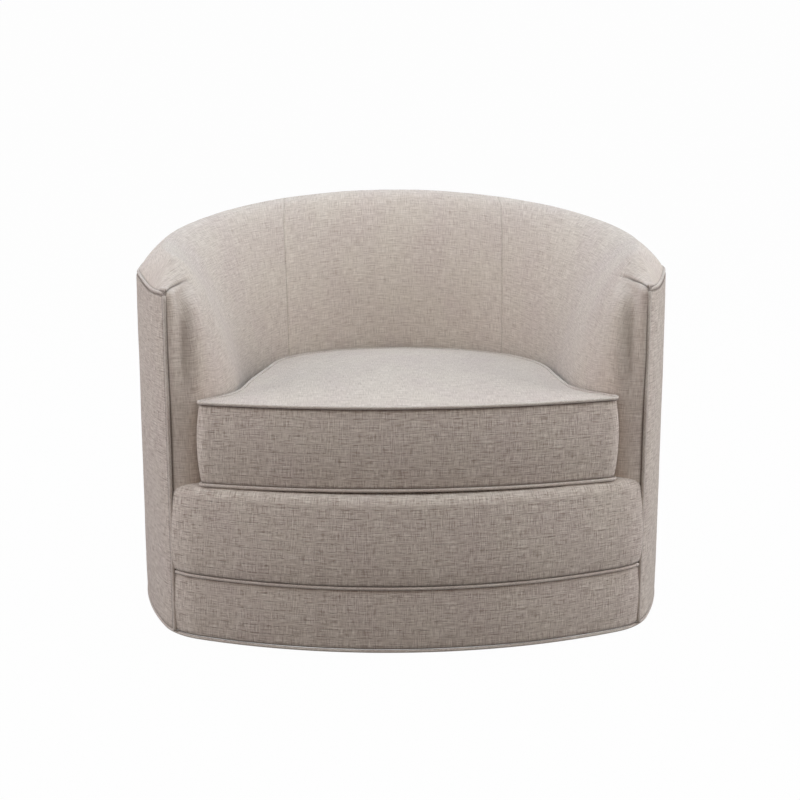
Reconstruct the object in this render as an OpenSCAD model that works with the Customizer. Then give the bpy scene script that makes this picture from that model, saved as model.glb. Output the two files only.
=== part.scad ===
// Swivel barrel chair: an upholstered tub on a ball bearing plinth, with a loose T cushion.
// Millimetres, +Z up, the front faces -Y. The origin is on the floor under the middle of the plan.

/* [Body plan] */
// Width over the outside covers
body_w = 860; // [820:5:900]
// How far the front bows forward of the widest line
front_depth = 354; // [340:2:368]
// Radius of the bow across the front
front_r = 798; // [740:2:860]
// Radius of the sides, forward of the widest line
side_r = 589; // [560:1:640]
// Radius of the two front corners
corner_r = 111; // [95:1:120]
// Where the arm welts stand on the corner curve, in degrees
welt_angle = 40.8; // [36:0.2:44]

/* [Body heights] */
// Gap between the floor and the bottom welt
floor_gap = 10; // [8:1:16]
// Height of the outer top edge at the arms
arm_h = 554; // [530:1:600]
// How much higher the outer top edge is at the back
back_rise = 24; // [12:1:50]
// How far the outer top edge sags between the arms and the back
rim_sag = 17; // [0:1:20]
// Height of the padded roll over the outer top edge
crown_h = 45; // [30:1:50]
// Distance from the outside to the crest of the roll
crest_in = 44; // [38:1:56]
// Height of the welt across the front
band_h = 115; // [100:1:130]
// Height of the rolled front edge under the cushion
apron_h = 259; // [250:1:280]

/* [Seat] */
// Thickness of the padded wall of the tub at the seat
tub_wall = 172; // [165:1:185]
// How much wider the tub is at the arm fronts, each side
cavity_flare = 2; // [0:1:6]
// Straight run of the inside arm, forward of the widest line
cavity_run = 120; // [100:2:130]
// Slope of the seat, in degrees down to the back
seat_pitch = 4; // [3:0.5:5]
// Gap between the cushion and the tub, at the sides
cushion_gap = 5; // [4:1:12]
// How far the cushion's round back is set forward in the tub
cushion_forward = 4; // [3:1:12]
// How far the cushion's ears stop short of the arm welts
ear_short = 45; // [42:1:56]
// How far the cushion's front lies behind the front of the body
cushion_setback = 18; // [14:1:26]
// Radius of the cushion's front edge
cushion_front_r = 880; // [800:10:1000]
// Height of the cushion between its two welts
cushion_h = 129; // [110:1:140]
// Height of the cushion's crown
cushion_crown = 38; // [20:1:45]

/* [Swivel] */
// Radius of the round plinth
plinth_r = 260; // [240:2:268]
// Thickness of the plinth board
plinth_t = 18; // [15:1:19]
// Radius of the ring of bearing balls
race_r = 88; // [80:1:92]
// Radius of one bearing ball
ball_r = 4; // [3.5:0.1:4.4]
// Number of bearing balls
ball_count = 24; // [12:1:28]
// Side of the square swivel plates
plate_side = 228; // [222:1:236]

/* [Hidden] */

// Turned surfaces are drawn with this many steps to the full turn
$fn = 180;
// Steps for small rods and holes, for the race and the corners of a plate, and for a ball
small_fn = 32;
plate_fn = 48;
ball_fn = 24;
// One overrun serves every cut
over = 1;
// Gap between pieces that only lie against each other
lie = 0.3;

// Plan: a half circle behind the widest line, side arcs, corner arcs and one bow in front
half_w = body_w / 2;
mid_y = (front_depth - half_w) / 2;
back_y = mid_y + half_w;
front_y = mid_y - front_depth;
side_c = [half_w - side_r, mid_y];
front_c = [0, front_y + front_r];
side_reach = side_r - corner_r;
front_reach = front_r - corner_r;
centre_gap = norm(front_c - side_c);
centre_dir = (front_c - side_c) / centre_gap;
along = (centre_gap * centre_gap + side_reach * side_reach - front_reach * front_reach)
    / (2 * centre_gap);
across = sqrt(side_reach * side_reach - along * along);
corner_c = side_c + along * centre_dir + across * [centre_dir.y, -centre_dir.x];
side_end = atan2(corner_c.y - side_c.y, corner_c.x - side_c.x);
cavity_r = half_w - tub_wall;
cushion_r = cavity_r - cushion_gap;
front_end = atan2(corner_c.y - front_c.y, corner_c.x - front_c.x);
welt_p = corner_c + corner_r * [cos(welt_angle), -sin(welt_angle)];

ear_w = 2 * (welt_p.x - ear_short);

function flip(p) = [-p.x, p.y];

// An arc is [centre, radius, first angle, sweep]; both paths run anticlockwise from above
right_arc = [side_c, side_r, side_end, -side_end];
left_arc = [flip(side_c), side_r, 180, -side_end];
right_turn = [corner_c, corner_r, -welt_angle, welt_angle + side_end];
left_turn = [flip(corner_c), corner_r, 180 - side_end, welt_angle + side_end];
function back_arc(from, sweep) = [[0, mid_y], half_w, from, sweep];
back_path = [right_turn, right_arc, back_arc(0, 180), left_arc, left_turn];
front_path = [
    [flip(corner_c), corner_r, 180 + welt_angle, -front_end - welt_angle],
    [front_c, front_r, 180 - front_end, 180 + 2 * front_end],
    [corner_c, corner_r, front_end, -front_end - welt_angle]];

// Walls, from the outside inwards
cover_t = 3;
board_t = 4;
skin_t = cover_t + board_t;
post_t = 40;
wall_t = skin_t + post_t;

// Heights of the frame
welt_r = 3;
welt_gap = 0.2;
cover_z = floor_gap + 2 * welt_r + welt_gap;
dust_t = 1;
ring_z = cover_z;
ring_t = 28;
rail_z = ring_z + ring_t;
rim_drop = 8;
rim_t = 40;
function rim_z(y) = let (t = max(0, y - welt_p.y) / (back_y - welt_p.y))
    arm_h + back_rise * t - 4 * rim_sag * t * (1 - t);

// The seat plane falls to the back from the inner edge of the apron's shelf
shelf = 50;
shelf_t = 12;
seat_y = front_y + shelf;
deck_t = 14;
wire_r = 2;
clip_t = 1.5;
clip_room = wire_r + lie;
wire_drop = deck_t + lie + clip_t + clip_room;
wood_drop = wire_drop + clip_room + clip_t + lie;
front_rail_t = 20;
spring_end_in = 40;
seat_ring_w = 28;
seat_ring_t = 24;
spring_back_in = wall_t + seat_ring_w / 2;
function seat_z(y) = apron_h - tan(seat_pitch) * (y - seat_y);
function shelf_z(y) = min(apron_h, seat_z(y));

// Shears its children so that their level planes run parallel to the seat plane
module sloped(drop) {
    fall = tan(seat_pitch);
    multmatrix([[1, 0, 0, 0], [0, 1, 0, 0], [0, -fall, 1, seat_z(0) - drop], [0, 0, 0, 1]])
        children();
}

// Points to a full turn along walls and rings, and along cords
wall_fn = 90;
cord_fn = 60;

// Points along a path at an offset from the plan; a closed path leaves out its last point
function on_arc(a, turn, off = 0) = a[0] + (a[1] + off) * [cos(turn), sin(turn)];
function arc_points(a, fn, off) = let (n = max(2, ceil(a[3] * fn / 360)))
    [for (i = [0:n - 1]) on_arc(a, a[2] + a[3] * i / n, off)];
function closed_points(path, fn, off = 0) = [for (a = path) each arc_points(a, fn, off)];
function path_points(path, fn, off = 0) =
    let (a = path[len(path) - 1])
    concat(closed_points(path, fn, off), [on_arc(a, a[2] + a[3], off)]);
function reversed(list) = let (n = len(list)) [for (i = [1:n]) list[n - i]];

// A wall that stands along a path, from one depth inside the plan to another
module wall(path, outer, inner, bottom, height) {
    translate([0, 0, bottom]) linear_extrude(height)
        polygon(concat(path_points(path, wall_fn, -outer),
            reversed(path_points(path, wall_fn, -inner))));
}

// The side view of the rim is one long curve; this slab lies under it, down to a lower edge
rim_steps = 24;
module under_rim(drop, lower) {
    reach = back_y - welt_p.y + over;
    edge = concat([front_y - over], [for (k = [0:rim_steps]) welt_p.y + reach * k / rim_steps]);
    rotate([90, 0, 90]) linear_extrude(body_w + 2 * over, center = true)
        polygon(concat([for (y = edge) [y, rim_z(y) - drop]], reversed(lower)));
}

// A wall that is cut off below the rim
module rim_wall(path, outer, inner, bottom, drop) {
    intersection() {
        wall(path, outer, inner, bottom, arm_h + back_rise - bottom);
        under_rim(drop, [[front_y - over, bottom - over], [back_y + over, bottom - over]]);
    }
}

module welt_room() {
    for (side = [-1, 1])
        translate([side * welt_p.x, welt_p.y, 0])
            cylinder(r = welt_r + welt_gap, h = arm_h + back_rise, $fn = small_fn);
}

// Triangles between rings of points, closed end to end or capped. A cap fans out from the ring's
// first point, or from a middle point where the ring bends inwards
function strip(a, b, n) =
    [for (i = [0:n - 1]) let (j = (i + 1) % n) each [[a + i, a + j, b + j], [a + i, b + j, b + i]]];
function fan(first, n) = [for (i = [1:n - 2]) [first, first + i, first + i + 1]];
function wheel(hub, first, n) = [for (i = [0:n - 1]) [hub, first + i, first + (i + 1) % n]];
function turned(faces) = [for (f = faces) [f[2], f[1], f[0]]];

module loft(rings, middles = [], closed = false) {
    n = len(rings[0]);
    m = len(rings);
    sides = [for (k = [0:m - (closed ? 1 : 2)]) each strip(k * n, ((k + 1) % m) * n, n)];
    ends = closed ? [] : len(middles) == 2
        ? concat(turned(wheel(m * n, 0, n)), wheel(m * n + 1, (m - 1) * n, n))
        : concat(turned(fan(0, n)), fan((m - 1) * n, n));
    polyhedron(points = concat([for (r = rings) each r], middles), faces = concat(sides, ends),
        convexity = 6);
}

// A profile drawn as [offset from the plan, height over a foot or depth under the shelf]
module run(path, foot, profile) {
    count = len(profile);
    lines = [for (p = profile) path_points(path, wall_fn, p.x)];
    loft([for (i = [0:len(lines[0]) - 1])
        [for (k = [0:count - 1]) let (p = lines[k][i], z = profile[k].y)
            [p.x, p.y, z > 0 ? shelf_z(p.y) - z : foot]]]);
}

// A round cord along points that lie nearly level
function unit(v) = v / norm(v);
function cord_ring(p, way, r, sides) =
    let (s = unit(cross(way, [0, 0, 1])), u = cross(s, way))
    [for (k = [0:sides - 1]) p - r * cos(360 * k / sides) * s + r * sin(360 * k / sides) * u];
module cord(points, r, sides = 6, closed = false) {
    m = len(points);
    rings = [for (i = [0:m - 1])
        let (
            before = closed ? points[(i + m - 1) % m] : points[max(0, i - 1)],
            after = closed ? points[(i + 1) % m] : points[min(m - 1, i + 1)])
        cord_ring(points[i], unit(after - before), r, sides)];
    loft(rings, closed = closed);
}

function smooth(t) = let (s = max(0, min(1, t))) s * s * (3 - 2 * s);
function bezier(p, t) =
    pow(1 - t, 3) * p[0] + 3 * pow(1 - t, 2) * t * p[1] + 3 * (1 - t) * t * t * p[2] + t * t * t * p[3];
function bezier_way(p, t) = unit(
    pow(1 - t, 2) * (p[1] - p[0]) + 2 * (1 - t) * t * (p[2] - p[1]) + t * t * (p[3] - p[2]));

// Swivel base, bottom up
glide_h = 6;
glide_r = 14;
glide_count = 6;
glide_in = 30;
plinth_hole_r = 22;
plate_t = 2.5;
plate_z = glide_h + plinth_t;
upper_plate_z = rail_z - plate_t;
race_w = 22;
groove_play = 0.1;
ball_z = (plate_z + plate_t + upper_plate_z) / 2;
race_gap = 3;
plate_corner = 20;
plate_hole_in = 14;
plate_hole_at = plate_side / 2 - plate_hole_in;
screw_r = 2.4;
screw_head_r = 4.6;
screw_head_h = 3;
screw_head_share = 0.7;
screw_play = 0.05;
lower_screw_l = 14;
upper_screw_l = 30;
rivet_r = 8;
rivet_head_r = 15;
rivet_head_h = 2.5;
cage_t = 2;
cage_w = 14;
cage_play = 0.3;

module plinth() {
    color("burlywood") difference() {
        translate([0, 0, glide_h]) cylinder(r = plinth_r, h = plinth_t);
        translate([0, 0, glide_h - over])
            cylinder(r = plinth_hole_r, h = plinth_t + 2 * over, $fn = small_fn);
        plate_corners() translate([0, 0, plate_z - lower_screw_l])
            cylinder(r = screw_r + screw_play, h = lower_screw_l + over, $fn = small_fn);
    }
}

module glides() {
    color("dimgray") for (k = [0:glide_count - 1])
        rotate(360 * (k + 0.5) / glide_count) translate([plinth_r - glide_in, 0, 0])
            cylinder(r1 = glide_r - glide_h / 2, r2 = glide_r, h = glide_h, $fn = small_fn);
}

module plate_corners() {
    for (x = [-1, 1], y = [-1, 1]) translate([x * plate_hole_at, y * plate_hole_at, 0]) children();
}

// A square plate with round corners, a raised race and a groove that fits the balls
module swivel_plate(face_z, up) {
    difference() {
        union() {
            linear_extrude(plate_t) square_plate();
            rotate_extrude() translate([race_r, 0]) race_profile(up * (ball_z - face_z));
        }
        translate([0, 0, -over])
            cylinder(r = rivet_r + screw_play, h = plate_t + 2 * over, $fn = small_fn);
        plate_corners() translate([0, 0, -over])
            cylinder(r = screw_r + screw_play, h = plate_t + 2 * over, $fn = small_fn);
        translate([0, 0, up * (ball_z - face_z)]) rotate_extrude()
            translate([race_r, 0]) circle(r = ball_r + groove_play, $fn = plate_fn);
    }
}

module square_plate() {
    inner = plate_side - 2 * plate_corner;
    square([plate_side, inner], center = true);
    square([inner, plate_side], center = true);
    for (x = [-1, 1], y = [-1, 1])
        translate([x * inner / 2, y * inner / 2]) circle(r = plate_corner, $fn = plate_fn);
}

module race_profile(reach) {
    top = reach - race_gap / 2;
    polygon([[-race_w / 2, plate_t / 2], [race_w / 2, plate_t / 2],
        [ball_r + plate_t, top], [-ball_r - plate_t, top]]);
}

module lower_swivel_plate() {
    color("slategray") translate([0, 0, plate_z]) swivel_plate(plate_z, 1);
}

module upper_swivel_plate() {
    color("slategray") translate([0, 0, rail_z]) mirror([0, 0, 1]) swivel_plate(rail_z, -1);
}

module bearing_balls() {
    color("silver") for (k = [0:ball_count - 1])
        rotate(360 * k / ball_count) translate([race_r, 0, ball_z]) sphere(r = ball_r, $fn = ball_fn);
}

module ball_cage() {
    color("gold") difference() {
        translate([0, 0, ball_z - cage_t / 2]) difference() {
            cylinder(r = race_r + cage_w / 2, h = cage_t);
            translate([0, 0, -over]) cylinder(r = race_r - cage_w / 2, h = cage_t + 2 * over);
        }
        for (k = [0:ball_count - 1])
            rotate(360 * k / ball_count) translate([race_r, 0, ball_z - cage_t])
                cylinder(r = ball_r + cage_play, h = 2 * cage_t, $fn = small_fn);
    }
}

module swivel_rivet() {
    foot = plate_z - rivet_head_h;
    top = rail_z + groove_play;
    color("silver") union() {
        translate([0, 0, foot]) cylinder(r = rivet_head_r, h = rivet_head_h, $fn = small_fn);
        translate([0, 0, foot]) cylinder(r = rivet_r, h = top - foot, $fn = small_fn);
        translate([0, 0, top]) cylinder(r = rivet_head_r, h = rivet_head_h, $fn = small_fn);
    }
}

module plate_screw(length) {
    translate([0, 0, -length])
        cylinder(r = screw_r, h = length + screw_head_h / 2, $fn = small_fn);
    cylinder(r1 = screw_head_r, r2 = screw_head_r * screw_head_share, h = screw_head_h, $fn = small_fn);
}

module lower_plate_screws() {
    color("silver") plate_corners()
        translate([0, 0, plate_z + plate_t]) plate_screw(lower_screw_l + plate_t - over);
}

module upper_plate_screws() {
    color("silver") plate_corners()
        translate([0, 0, upper_plate_z]) mirror([0, 0, 1]) plate_screw(upper_screw_l + plate_t - over);
}

// Wooden frame; the rim rail ends on the arm posts, clear of the soft noses of the arms
swivel_rail_w = 58;
swivel_rail_h = 36;

module swivel_rail(side) {
    x = side * plate_hole_at;
    outer_x = plate_hole_at + swivel_rail_w / 2;
    front = front_c.y - sqrt(pow(front_r - skin_t - front_rail_t - lie, 2) - outer_x * outer_x);
    back = mid_y + sqrt(pow(half_w - wall_t - lie, 2) - outer_x * outer_x);
    color("burlywood") difference() {
        translate([x - swivel_rail_w / 2, front, rail_z])
            cube([swivel_rail_w, back - front, swivel_rail_h]);
        plate_corners() translate([0, 0, rail_z - over])
            cylinder(r = screw_r + screw_play, h = upper_screw_l + over, $fn = small_fn);
    }
}

module left_swivel_rail() { swivel_rail(-1); }
module right_swivel_rail() { swivel_rail(1); }

ring_w = 60;
module bottom_ring() {
    color("burlywood") translate([0, 0, ring_z]) linear_extrude(ring_t) difference() {
        polygon(closed_points(concat(back_path, front_path), wall_fn, -skin_t - lie));
        polygon(closed_points(concat(back_path, front_path), wall_fn, -skin_t - ring_w));
    }
}

module front_rail() {
    color("burlywood") intersection() {
        wall(front_path, skin_t + lie, skin_t + front_rail_t, rail_z, apron_h - rail_z);
        sloped(wood_drop + apron_h) translate([-half_w, front_y, 0])
            cube([body_w, body_w, apron_h]);
    }
}

// An upright between the bottom ring and the rim
module post(path) {
    color("burlywood") rim_wall(path, skin_t + lie, wall_t, rail_z, rim_drop + rim_t);
}

arm_post_turn = 7;
post_turn = 9;
back_post_turn = 40;
module left_arm_post() {
    post([[flip(side_c), side_r, 180 - side_end - arm_post_turn, arm_post_turn], left_turn]);
}
module right_arm_post() {
    post([right_turn, [side_c, side_r, side_end, arm_post_turn]]);
}
module back_post(turn) { post([back_arc(turn - post_turn / 2, post_turn)]); }
module right_side_post() { back_post(post_turn); }
module right_back_post() { back_post(90 - back_post_turn); }
module middle_back_post() { back_post(90); }
module left_back_post() { back_post(90 + back_post_turn); }
module left_side_post() { back_post(180 - post_turn); }

module seat_ring() {
    color("burlywood") sloped(wood_drop + seat_ring_t)
        wall(back_path, wall_t + lie, wall_t + seat_ring_w, 0, seat_ring_t);
}

module rim_rail() {
    low = arm_h - rim_sag - rim_drop - rim_t - over;
    edge = [for (k = [0:rim_steps]) welt_p.y + (back_y - welt_p.y + over) * k / rim_steps];
    color("burlywood") intersection() {
        wall([right_arc, back_arc(0, 180), left_arc], skin_t + lie, wall_t, low,
            arm_h + back_rise - low);
        under_rim(rim_drop, concat([[front_y - over, arm_h - rim_drop - rim_t]],
            [for (y = edge) [y, rim_z(y) - rim_drop - rim_t]]));
    }
}

module shell_board() {
    color("tan") difference() {
        rim_wall(back_path, cover_t, skin_t, ring_z, rim_drop);
        welt_room();
    }
}

module band_board() {
    color("tan") difference() {
        wall(front_path, cover_t, skin_t, ring_z, band_h - welt_r - welt_gap - ring_z);
        welt_room();
    }
}

// Sinuous springs, their clips and cross ties
spring_count = 5;
spring_step = 82;
bar_gap = 36;
bend_r = bar_gap / 2;
spring_half_w = 27;
bend_steps = 4;
clip_w = 16;
tie_r = 1;
tie_y_shares = [-0.28, 0.28];

function spring_x(i) = (i - (spring_count - 1) / 2) * spring_step;
function spring_front(x) = front_c.y - sqrt(pow(front_r - spring_end_in, 2) - x * x);
function spring_back(x) = mid_y + sqrt(pow(half_w - spring_back_in, 2) - x * x);

// Bars across the seat, joined by half circle bends on alternate sides
function spring_flat(bars, pitch) = [for (k = [0:bars - 1])
    let (side = k % 2 == 0 ? 1 : -1)
    each concat(
        k == 0 ? [[-side * spring_half_w, 0]] : [],
        k == bars - 1 ? [[side * spring_half_w, k * pitch]] :
            [for (s = [0:bend_steps - 1]) let (turn = -90 + 180 * s / (bend_steps - 1))
                [side * (spring_half_w - pitch / 2 + pitch / 2 * cos(turn)),
                    (k + 0.5) * pitch + pitch / 2 * sin(turn)]])];

module seat_spring(i) {
    x = spring_x(i);
    first = spring_front(x);
    last = spring_back(x);
    bars = floor((last - first) / bar_gap) + 1;
    pitch = (last - first) / (bars - 1);
    color("dimgray") cord(
        [for (p = spring_flat(bars, pitch))
            [x + p.x, first + p.y, seat_z(first + p.y) - wire_drop]],
        wire_r, 4);
}
module seat_spring_1() { seat_spring(0); }
module seat_spring_2() { seat_spring(1); }
module seat_spring_3() { seat_spring(2); }
module seat_spring_4() { seat_spring(3); }
module seat_spring_5() { seat_spring(4); }

// A clip lies on the wood and hooks over the end bar of its spring
module spring_clip(tail) {
    hook = clip_room + clip_t;
    rotate([-seat_pitch, 0, 0]) translate([-clip_w / 2, 0, 0]) rotate([90, 0, 90])
        linear_extrude(clip_w) difference() {
            union() {
                circle(r = hook, $fn = small_fn);
                translate([min(0, tail), -hook]) square([abs(tail), clip_t]);
            }
            circle(r = clip_room, $fn = small_fn);
            translate([tail > 0 ? -hook - over : 0, 0]) square([hook + over, hook + over]);
        }
}

module spring_clips() {
    color("dimgray") for (i = [0:spring_count - 1]) {
        x = spring_x(i);
        for (end = [[spring_front(x), skin_t + front_rail_t / 2 - spring_end_in],
            [spring_back(x), seat_ring_w / 4]])
            translate([x, end[0], seat_z(end[0]) - wire_drop]) spring_clip(end[1]);
    }
}

module spring_ties() {
    reach = spring_x(spring_count - 1) + spring_half_w;
    color("saddlebrown") for (share = tie_y_shares) {
        y = share * body_w;
        translate([0, y, seat_z(y) - wire_drop - wire_r - tie_r - lie]) rotate([0, 90, 0])
            cylinder(r = tie_r, h = 2 * reach, center = true, $fn = small_fn);
    }
}

// Seat deck, a slab parallel to the seat plane inside the frame
module seat_deck() {
    color("linen") sloped(deck_t) linear_extrude(deck_t)
        polygon(closed_points(concat(back_path, front_path), wall_fn, -shelf - lie));
}

// Inside of the tub: the nose of each arm is one curve from the inside arm to the arm welt
nose_lead = 95;
nose_pull = 47;
nose_out = 20.6;
nose_curve = [
    [cavity_r + cavity_flare, mid_y - cavity_run],
    [cavity_r + 2 * cavity_flare, mid_y - cavity_run - nose_lead],
    [welt_p.x - nose_pull, welt_p.y - nose_out],
    [welt_p.x, welt_p.y]];
inner_corner = welt_p - (wall_t + lie) * [cos(welt_angle), -sin(welt_angle)];

function outline_x(y, in = 0) = y < side_c.y + (side_r - in) * sin(side_end)
    ? corner_c.x + sqrt(pow(corner_r - in, 2) - pow(y - corner_c.y, 2))
    : side_c.x + sqrt(pow(side_r - in, 2) - pow(y - side_c.y, 2));
function outline_in(y) = y < side_c.y + side_r * sin(side_end)
    ? unit(corner_c - [outline_x(y), y]) : unit(side_c - [outline_x(y), y]);

// A station is [outer edge, crest, inside surface, frame side, share of the roll's height]
nose_shares = [0.02, 0.09, 0.18, 0.3, 0.44, 0.6, 0.8, 1];
nose_last = len(nose_shares) - 1;
frame_shares = [0.1, 0.4, 0.8, 1];
crest_least = 5;
roll_grown_share = 0.7;
roll_least_share = 0.15;
nose_start_share = 0.05;
function nose_station(k) =
    let (
        share = nose_shares[k],
        y = welt_p.y + share * (mid_y - cavity_run - welt_p.y),
        edge = [outline_x(y), y],
        roll = smooth(share / roll_grown_share),
        surface = bezier(nose_curve, (1 - nose_start_share) * (1 - k / nose_last)),
        post_front = welt_p - (skin_t + lie) * [cos(welt_angle), -sin(welt_angle)],
        frame = k < len(frame_shares)
            ? post_front + frame_shares[k] * (inner_corner - post_front)
            : [outline_x(y, wall_t + lie), y])
    [edge, edge + (crest_least + (crest_in - crest_least) * roll) * outline_in(y), surface, frame,
        max(roll_least_share, roll)];
side_steps = 2;
function side_station(k) =
    let (share = k / side_steps, y = mid_y - cavity_run * (1 - share), edge = [outline_x(y), y])
    [edge, edge + crest_in * outline_in(y), [cavity_r + cavity_flare * (1 - share), y],
        [outline_x(y, wall_t + lie), y], 1];
function round_station(turn) =
    let (way = [cos(turn), sin(turn)], c = [0, mid_y])
    [c + half_w * way, c + (half_w - crest_in) * way, c + cavity_r * way,
        c + (half_w - wall_t - lie) * way, 1];
function flip_station(s) = [flip(s[0]), flip(s[1]), flip(s[2]), flip(s[3]), s[4]];

// Section of the pad: outer edge, crown, crest, inside curve, foot, frame side and rim seat
crown_steps = 4;
inside_steps = 8;
pad_edge_in = 4;
crown_in_shares = [0.09, 0.9];
crown_up_share = 0.37;
slope_in_share = 0.4;
lean_in_share = 0.82;
lean_down_share = 0.5;
upright_share = 0.8;
function lift(p, z) = [p.x, p.y, z];
function pad_section(s) =
    let (
        in = unit(s[1] - s[0]),
        edge_z = rim_z(s[0].y),
        crest_z = edge_z + crown_h * s[4],
        start = s[0] + pad_edge_in * in,
        side_z = seat_z(s[2].y) + upright_share * cushion_h,
        crown = [
            lift(start, edge_z),
            lift(start + crown_in_shares[0] * (s[1] - start), edge_z + crown_up_share * (crest_z - edge_z)),
            lift(start + crown_in_shares[1] * (s[1] - start), crest_z),
            lift(s[1], crest_z)],
        inside = [
            lift(s[1], crest_z),
            lift(s[1] + slope_in_share * (s[2] - s[1]), crest_z),
            lift(s[1] + lean_in_share * (s[2] - s[1]), crest_z - lean_down_share * (crest_z - side_z)),
            lift(s[2], side_z)])
    concat(
        [lift(s[3], edge_z - rim_drop + lie), lift(start, edge_z - rim_drop + lie)],
        [for (k = [0:crown_steps - 1]) bezier(crown, k / crown_steps)],
        [for (k = [0:inside_steps]) bezier(inside, k / inside_steps)],
        [lift(s[2], shelf_z(s[2].y) + lie), lift(s[3], shelf_z(s[3].y) + lie)]);

seam_turn = 46;
seam_gap_turn = 0.04;
arm_steps = 8;
back_steps = 12;
right_stations = concat(
    [for (k = [0:nose_last]) nose_station(k)],
    [for (k = [1:side_steps]) side_station(k)],
    [for (k = [1:arm_steps]) round_station((seam_turn - seam_gap_turn) * k / arm_steps)]);

module right_arm_pad() {
    color("antiquewhite") loft([for (s = right_stations) pad_section(s)]);
}

module left_arm_pad() {
    color("antiquewhite")
        loft([for (s = reversed(right_stations)) pad_section(flip_station(s))]);
}

module back_pad() {
    sweep = 180 - 2 * seam_turn - 2 * seam_gap_turn;
    color("antiquewhite") loft([for (k = [0:back_steps])
        pad_section(round_station(seam_turn + seam_gap_turn + sweep * k / back_steps))]);
}

// Front covers
apron_pad = skin_t - lie;
roll_r = 22;
roll_steps = 6;
apron_rest = 0.1;
module front_apron() {
    foot = band_h + welt_r + welt_gap;
    roll = [for (k = [0:roll_steps]) let (turn = 90 * k / roll_steps)
        [roll_r * (cos(turn) - 1), roll_r * (1 - sin(turn)) + apron_rest]];
    color("antiquewhite") difference() {
        run(front_path, foot, concat([[-apron_pad, shelf_t], [-apron_pad, 0], [0, 0]], roll,
            [[-shelf, apron_rest], [-shelf, shelf_t]]));
        welt_room();
    }
}

module lower_band() {
    top = band_h - welt_r - welt_gap;
    color("antiquewhite") difference() {
        wall(front_path, 0, cover_t - lie, cover_z, top - cover_z);
        welt_room();
    }
}

// Outside covers, sewn in three panels
outside_seam = 48;
module outside_panel(path) {
    color("antiquewhite") difference() {
        rim_wall(path, 0, cover_t - lie, cover_z, welt_r + welt_gap);
        welt_room();
    }
}
module outside_right_panel() { outside_panel([right_turn, right_arc, back_arc(0, outside_seam)]); }
module outside_back_panel() { outside_panel([back_arc(outside_seam, 180 - 2 * outside_seam)]); }
module outside_left_panel() {
    outside_panel([back_arc(180 - outside_seam, outside_seam), left_arc, left_turn]);
}

// Welts
bottom_welt_in = 2;
module top_welt() {
    color("linen")
        cord([for (p = path_points(back_path, cord_fn)) lift(p, rim_z(p.y))], welt_r);
}

module arm_welt(side) {
    color("linen") translate([side * welt_p.x, welt_p.y, cover_z])
        cylinder(r = welt_r, h = arm_h - welt_r - welt_gap - cover_z, $fn = small_fn);
}
module left_arm_welt() { arm_welt(-1); }
module right_arm_welt() { arm_welt(1); }

module band_welt() {
    stop = asin(2 * (welt_r + welt_gap) / corner_r);
    turns = [
        [flip(corner_c), corner_r, 180 + welt_angle + stop, -front_end - welt_angle - stop],
        front_path[1],
        [corner_c, corner_r, front_end, -front_end - welt_angle - stop]];
    color("linen") cord([for (p = path_points(turns, cord_fn)) lift(p, band_h)], welt_r);
}

module bottom_welt() {
    points = closed_points(concat(back_path, front_path), cord_fn, -bottom_welt_in);
    color("linen") cord([for (p = points) lift(p, floor_gap + welt_r)], welt_r, closed = true);
}

plinth_play = 14;
dust_in = skin_t;
module dust_cover() {
    color("black") translate([0, 0, ring_z - dust_t]) linear_extrude(dust_t) difference() {
        polygon(closed_points(concat(back_path, front_path), cord_fn, -dust_in));
        circle(r = plinth_r + plinth_play);
    }
}

// Cushion, drawn over a level plane and then sheared to lie on the sloping seat
cushion_c = [0, mid_y - cushion_forward];
cushion_rest = 0.5;
cushion_in = welt_r + welt_gap;
ear_shares = [0.6, 0.5, 0.4, 0.28, 0.14];
ear_r = 11;
ear_room = 1;
ear_turns = [-70:30:50];
side_share = 0.6;
round_steps = 12;
bow_steps = 6;
panel_t = 2.5;
boxing_bulge = 3;
cushion_front_y = front_y + cushion_setback;
cushion_front_c = [0, cushion_front_y + cushion_front_r];
ear_front_y = cushion_front_c.y - sqrt(pow(cushion_front_r, 2) - pow(ear_w / 2 - ear_r, 2));
ear_c = [ear_w / 2 - ear_r, ear_front_y + ear_r];

// Right half of the outline from the ear's tip round to the side, then the round back
function ear_side(t, in) = let (way = bezier_way(nose_curve, t))
    bezier(nose_curve, t) + (cushion_gap + ear_room + in) * [way.y, -way.x];
function cushion_half(in) = concat(
    [for (turn = ear_turns) ear_c + (ear_r - in) * [cos(turn), sin(turn)]],
    [for (t = ear_shares) ear_side(t, in)],
    [[cushion_r - in, mid_y - side_share * cavity_run]]);
function cushion_plan(in) =
    let (half = cushion_half(in), front_turn = asin((ear_w / 2 - 2 * ear_r) / cushion_front_r))
    concat(
        half,
        [for (k = [0:round_steps]) let (turn = 180 * k / round_steps)
            cushion_c + (cushion_r - in) * [cos(turn), sin(turn)]],
        [for (p = reversed(half)) flip(p)],
        [for (k = [0:bow_steps]) let (turn = -90 - front_turn + 2 * front_turn * k / bow_steps)
            cushion_front_c + (cushion_front_r - in) * [cos(turn), sin(turn)]]);

module on_seat() { sloped(-cushion_rest) children(); }

// Rings shrink to the middle of the cushion as the crown rises
crown_ahead = 20;
crown_mid = [0, mid_y - crown_ahead];
crown_shares = [1, 0.96, 0.85, 0.65, 0.35];
function shrunk(points, share, z) = [for (p = points) lift(crown_mid + share * (p - crown_mid), z)];
crown_power = 2.6;
function crown_at(share) = cushion_crown * (1 - pow(share, crown_power));
function dome(in, base) = [for (share = crown_shares)
    shrunk(cushion_plan(in), share, base + crown_at(share))];

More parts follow.
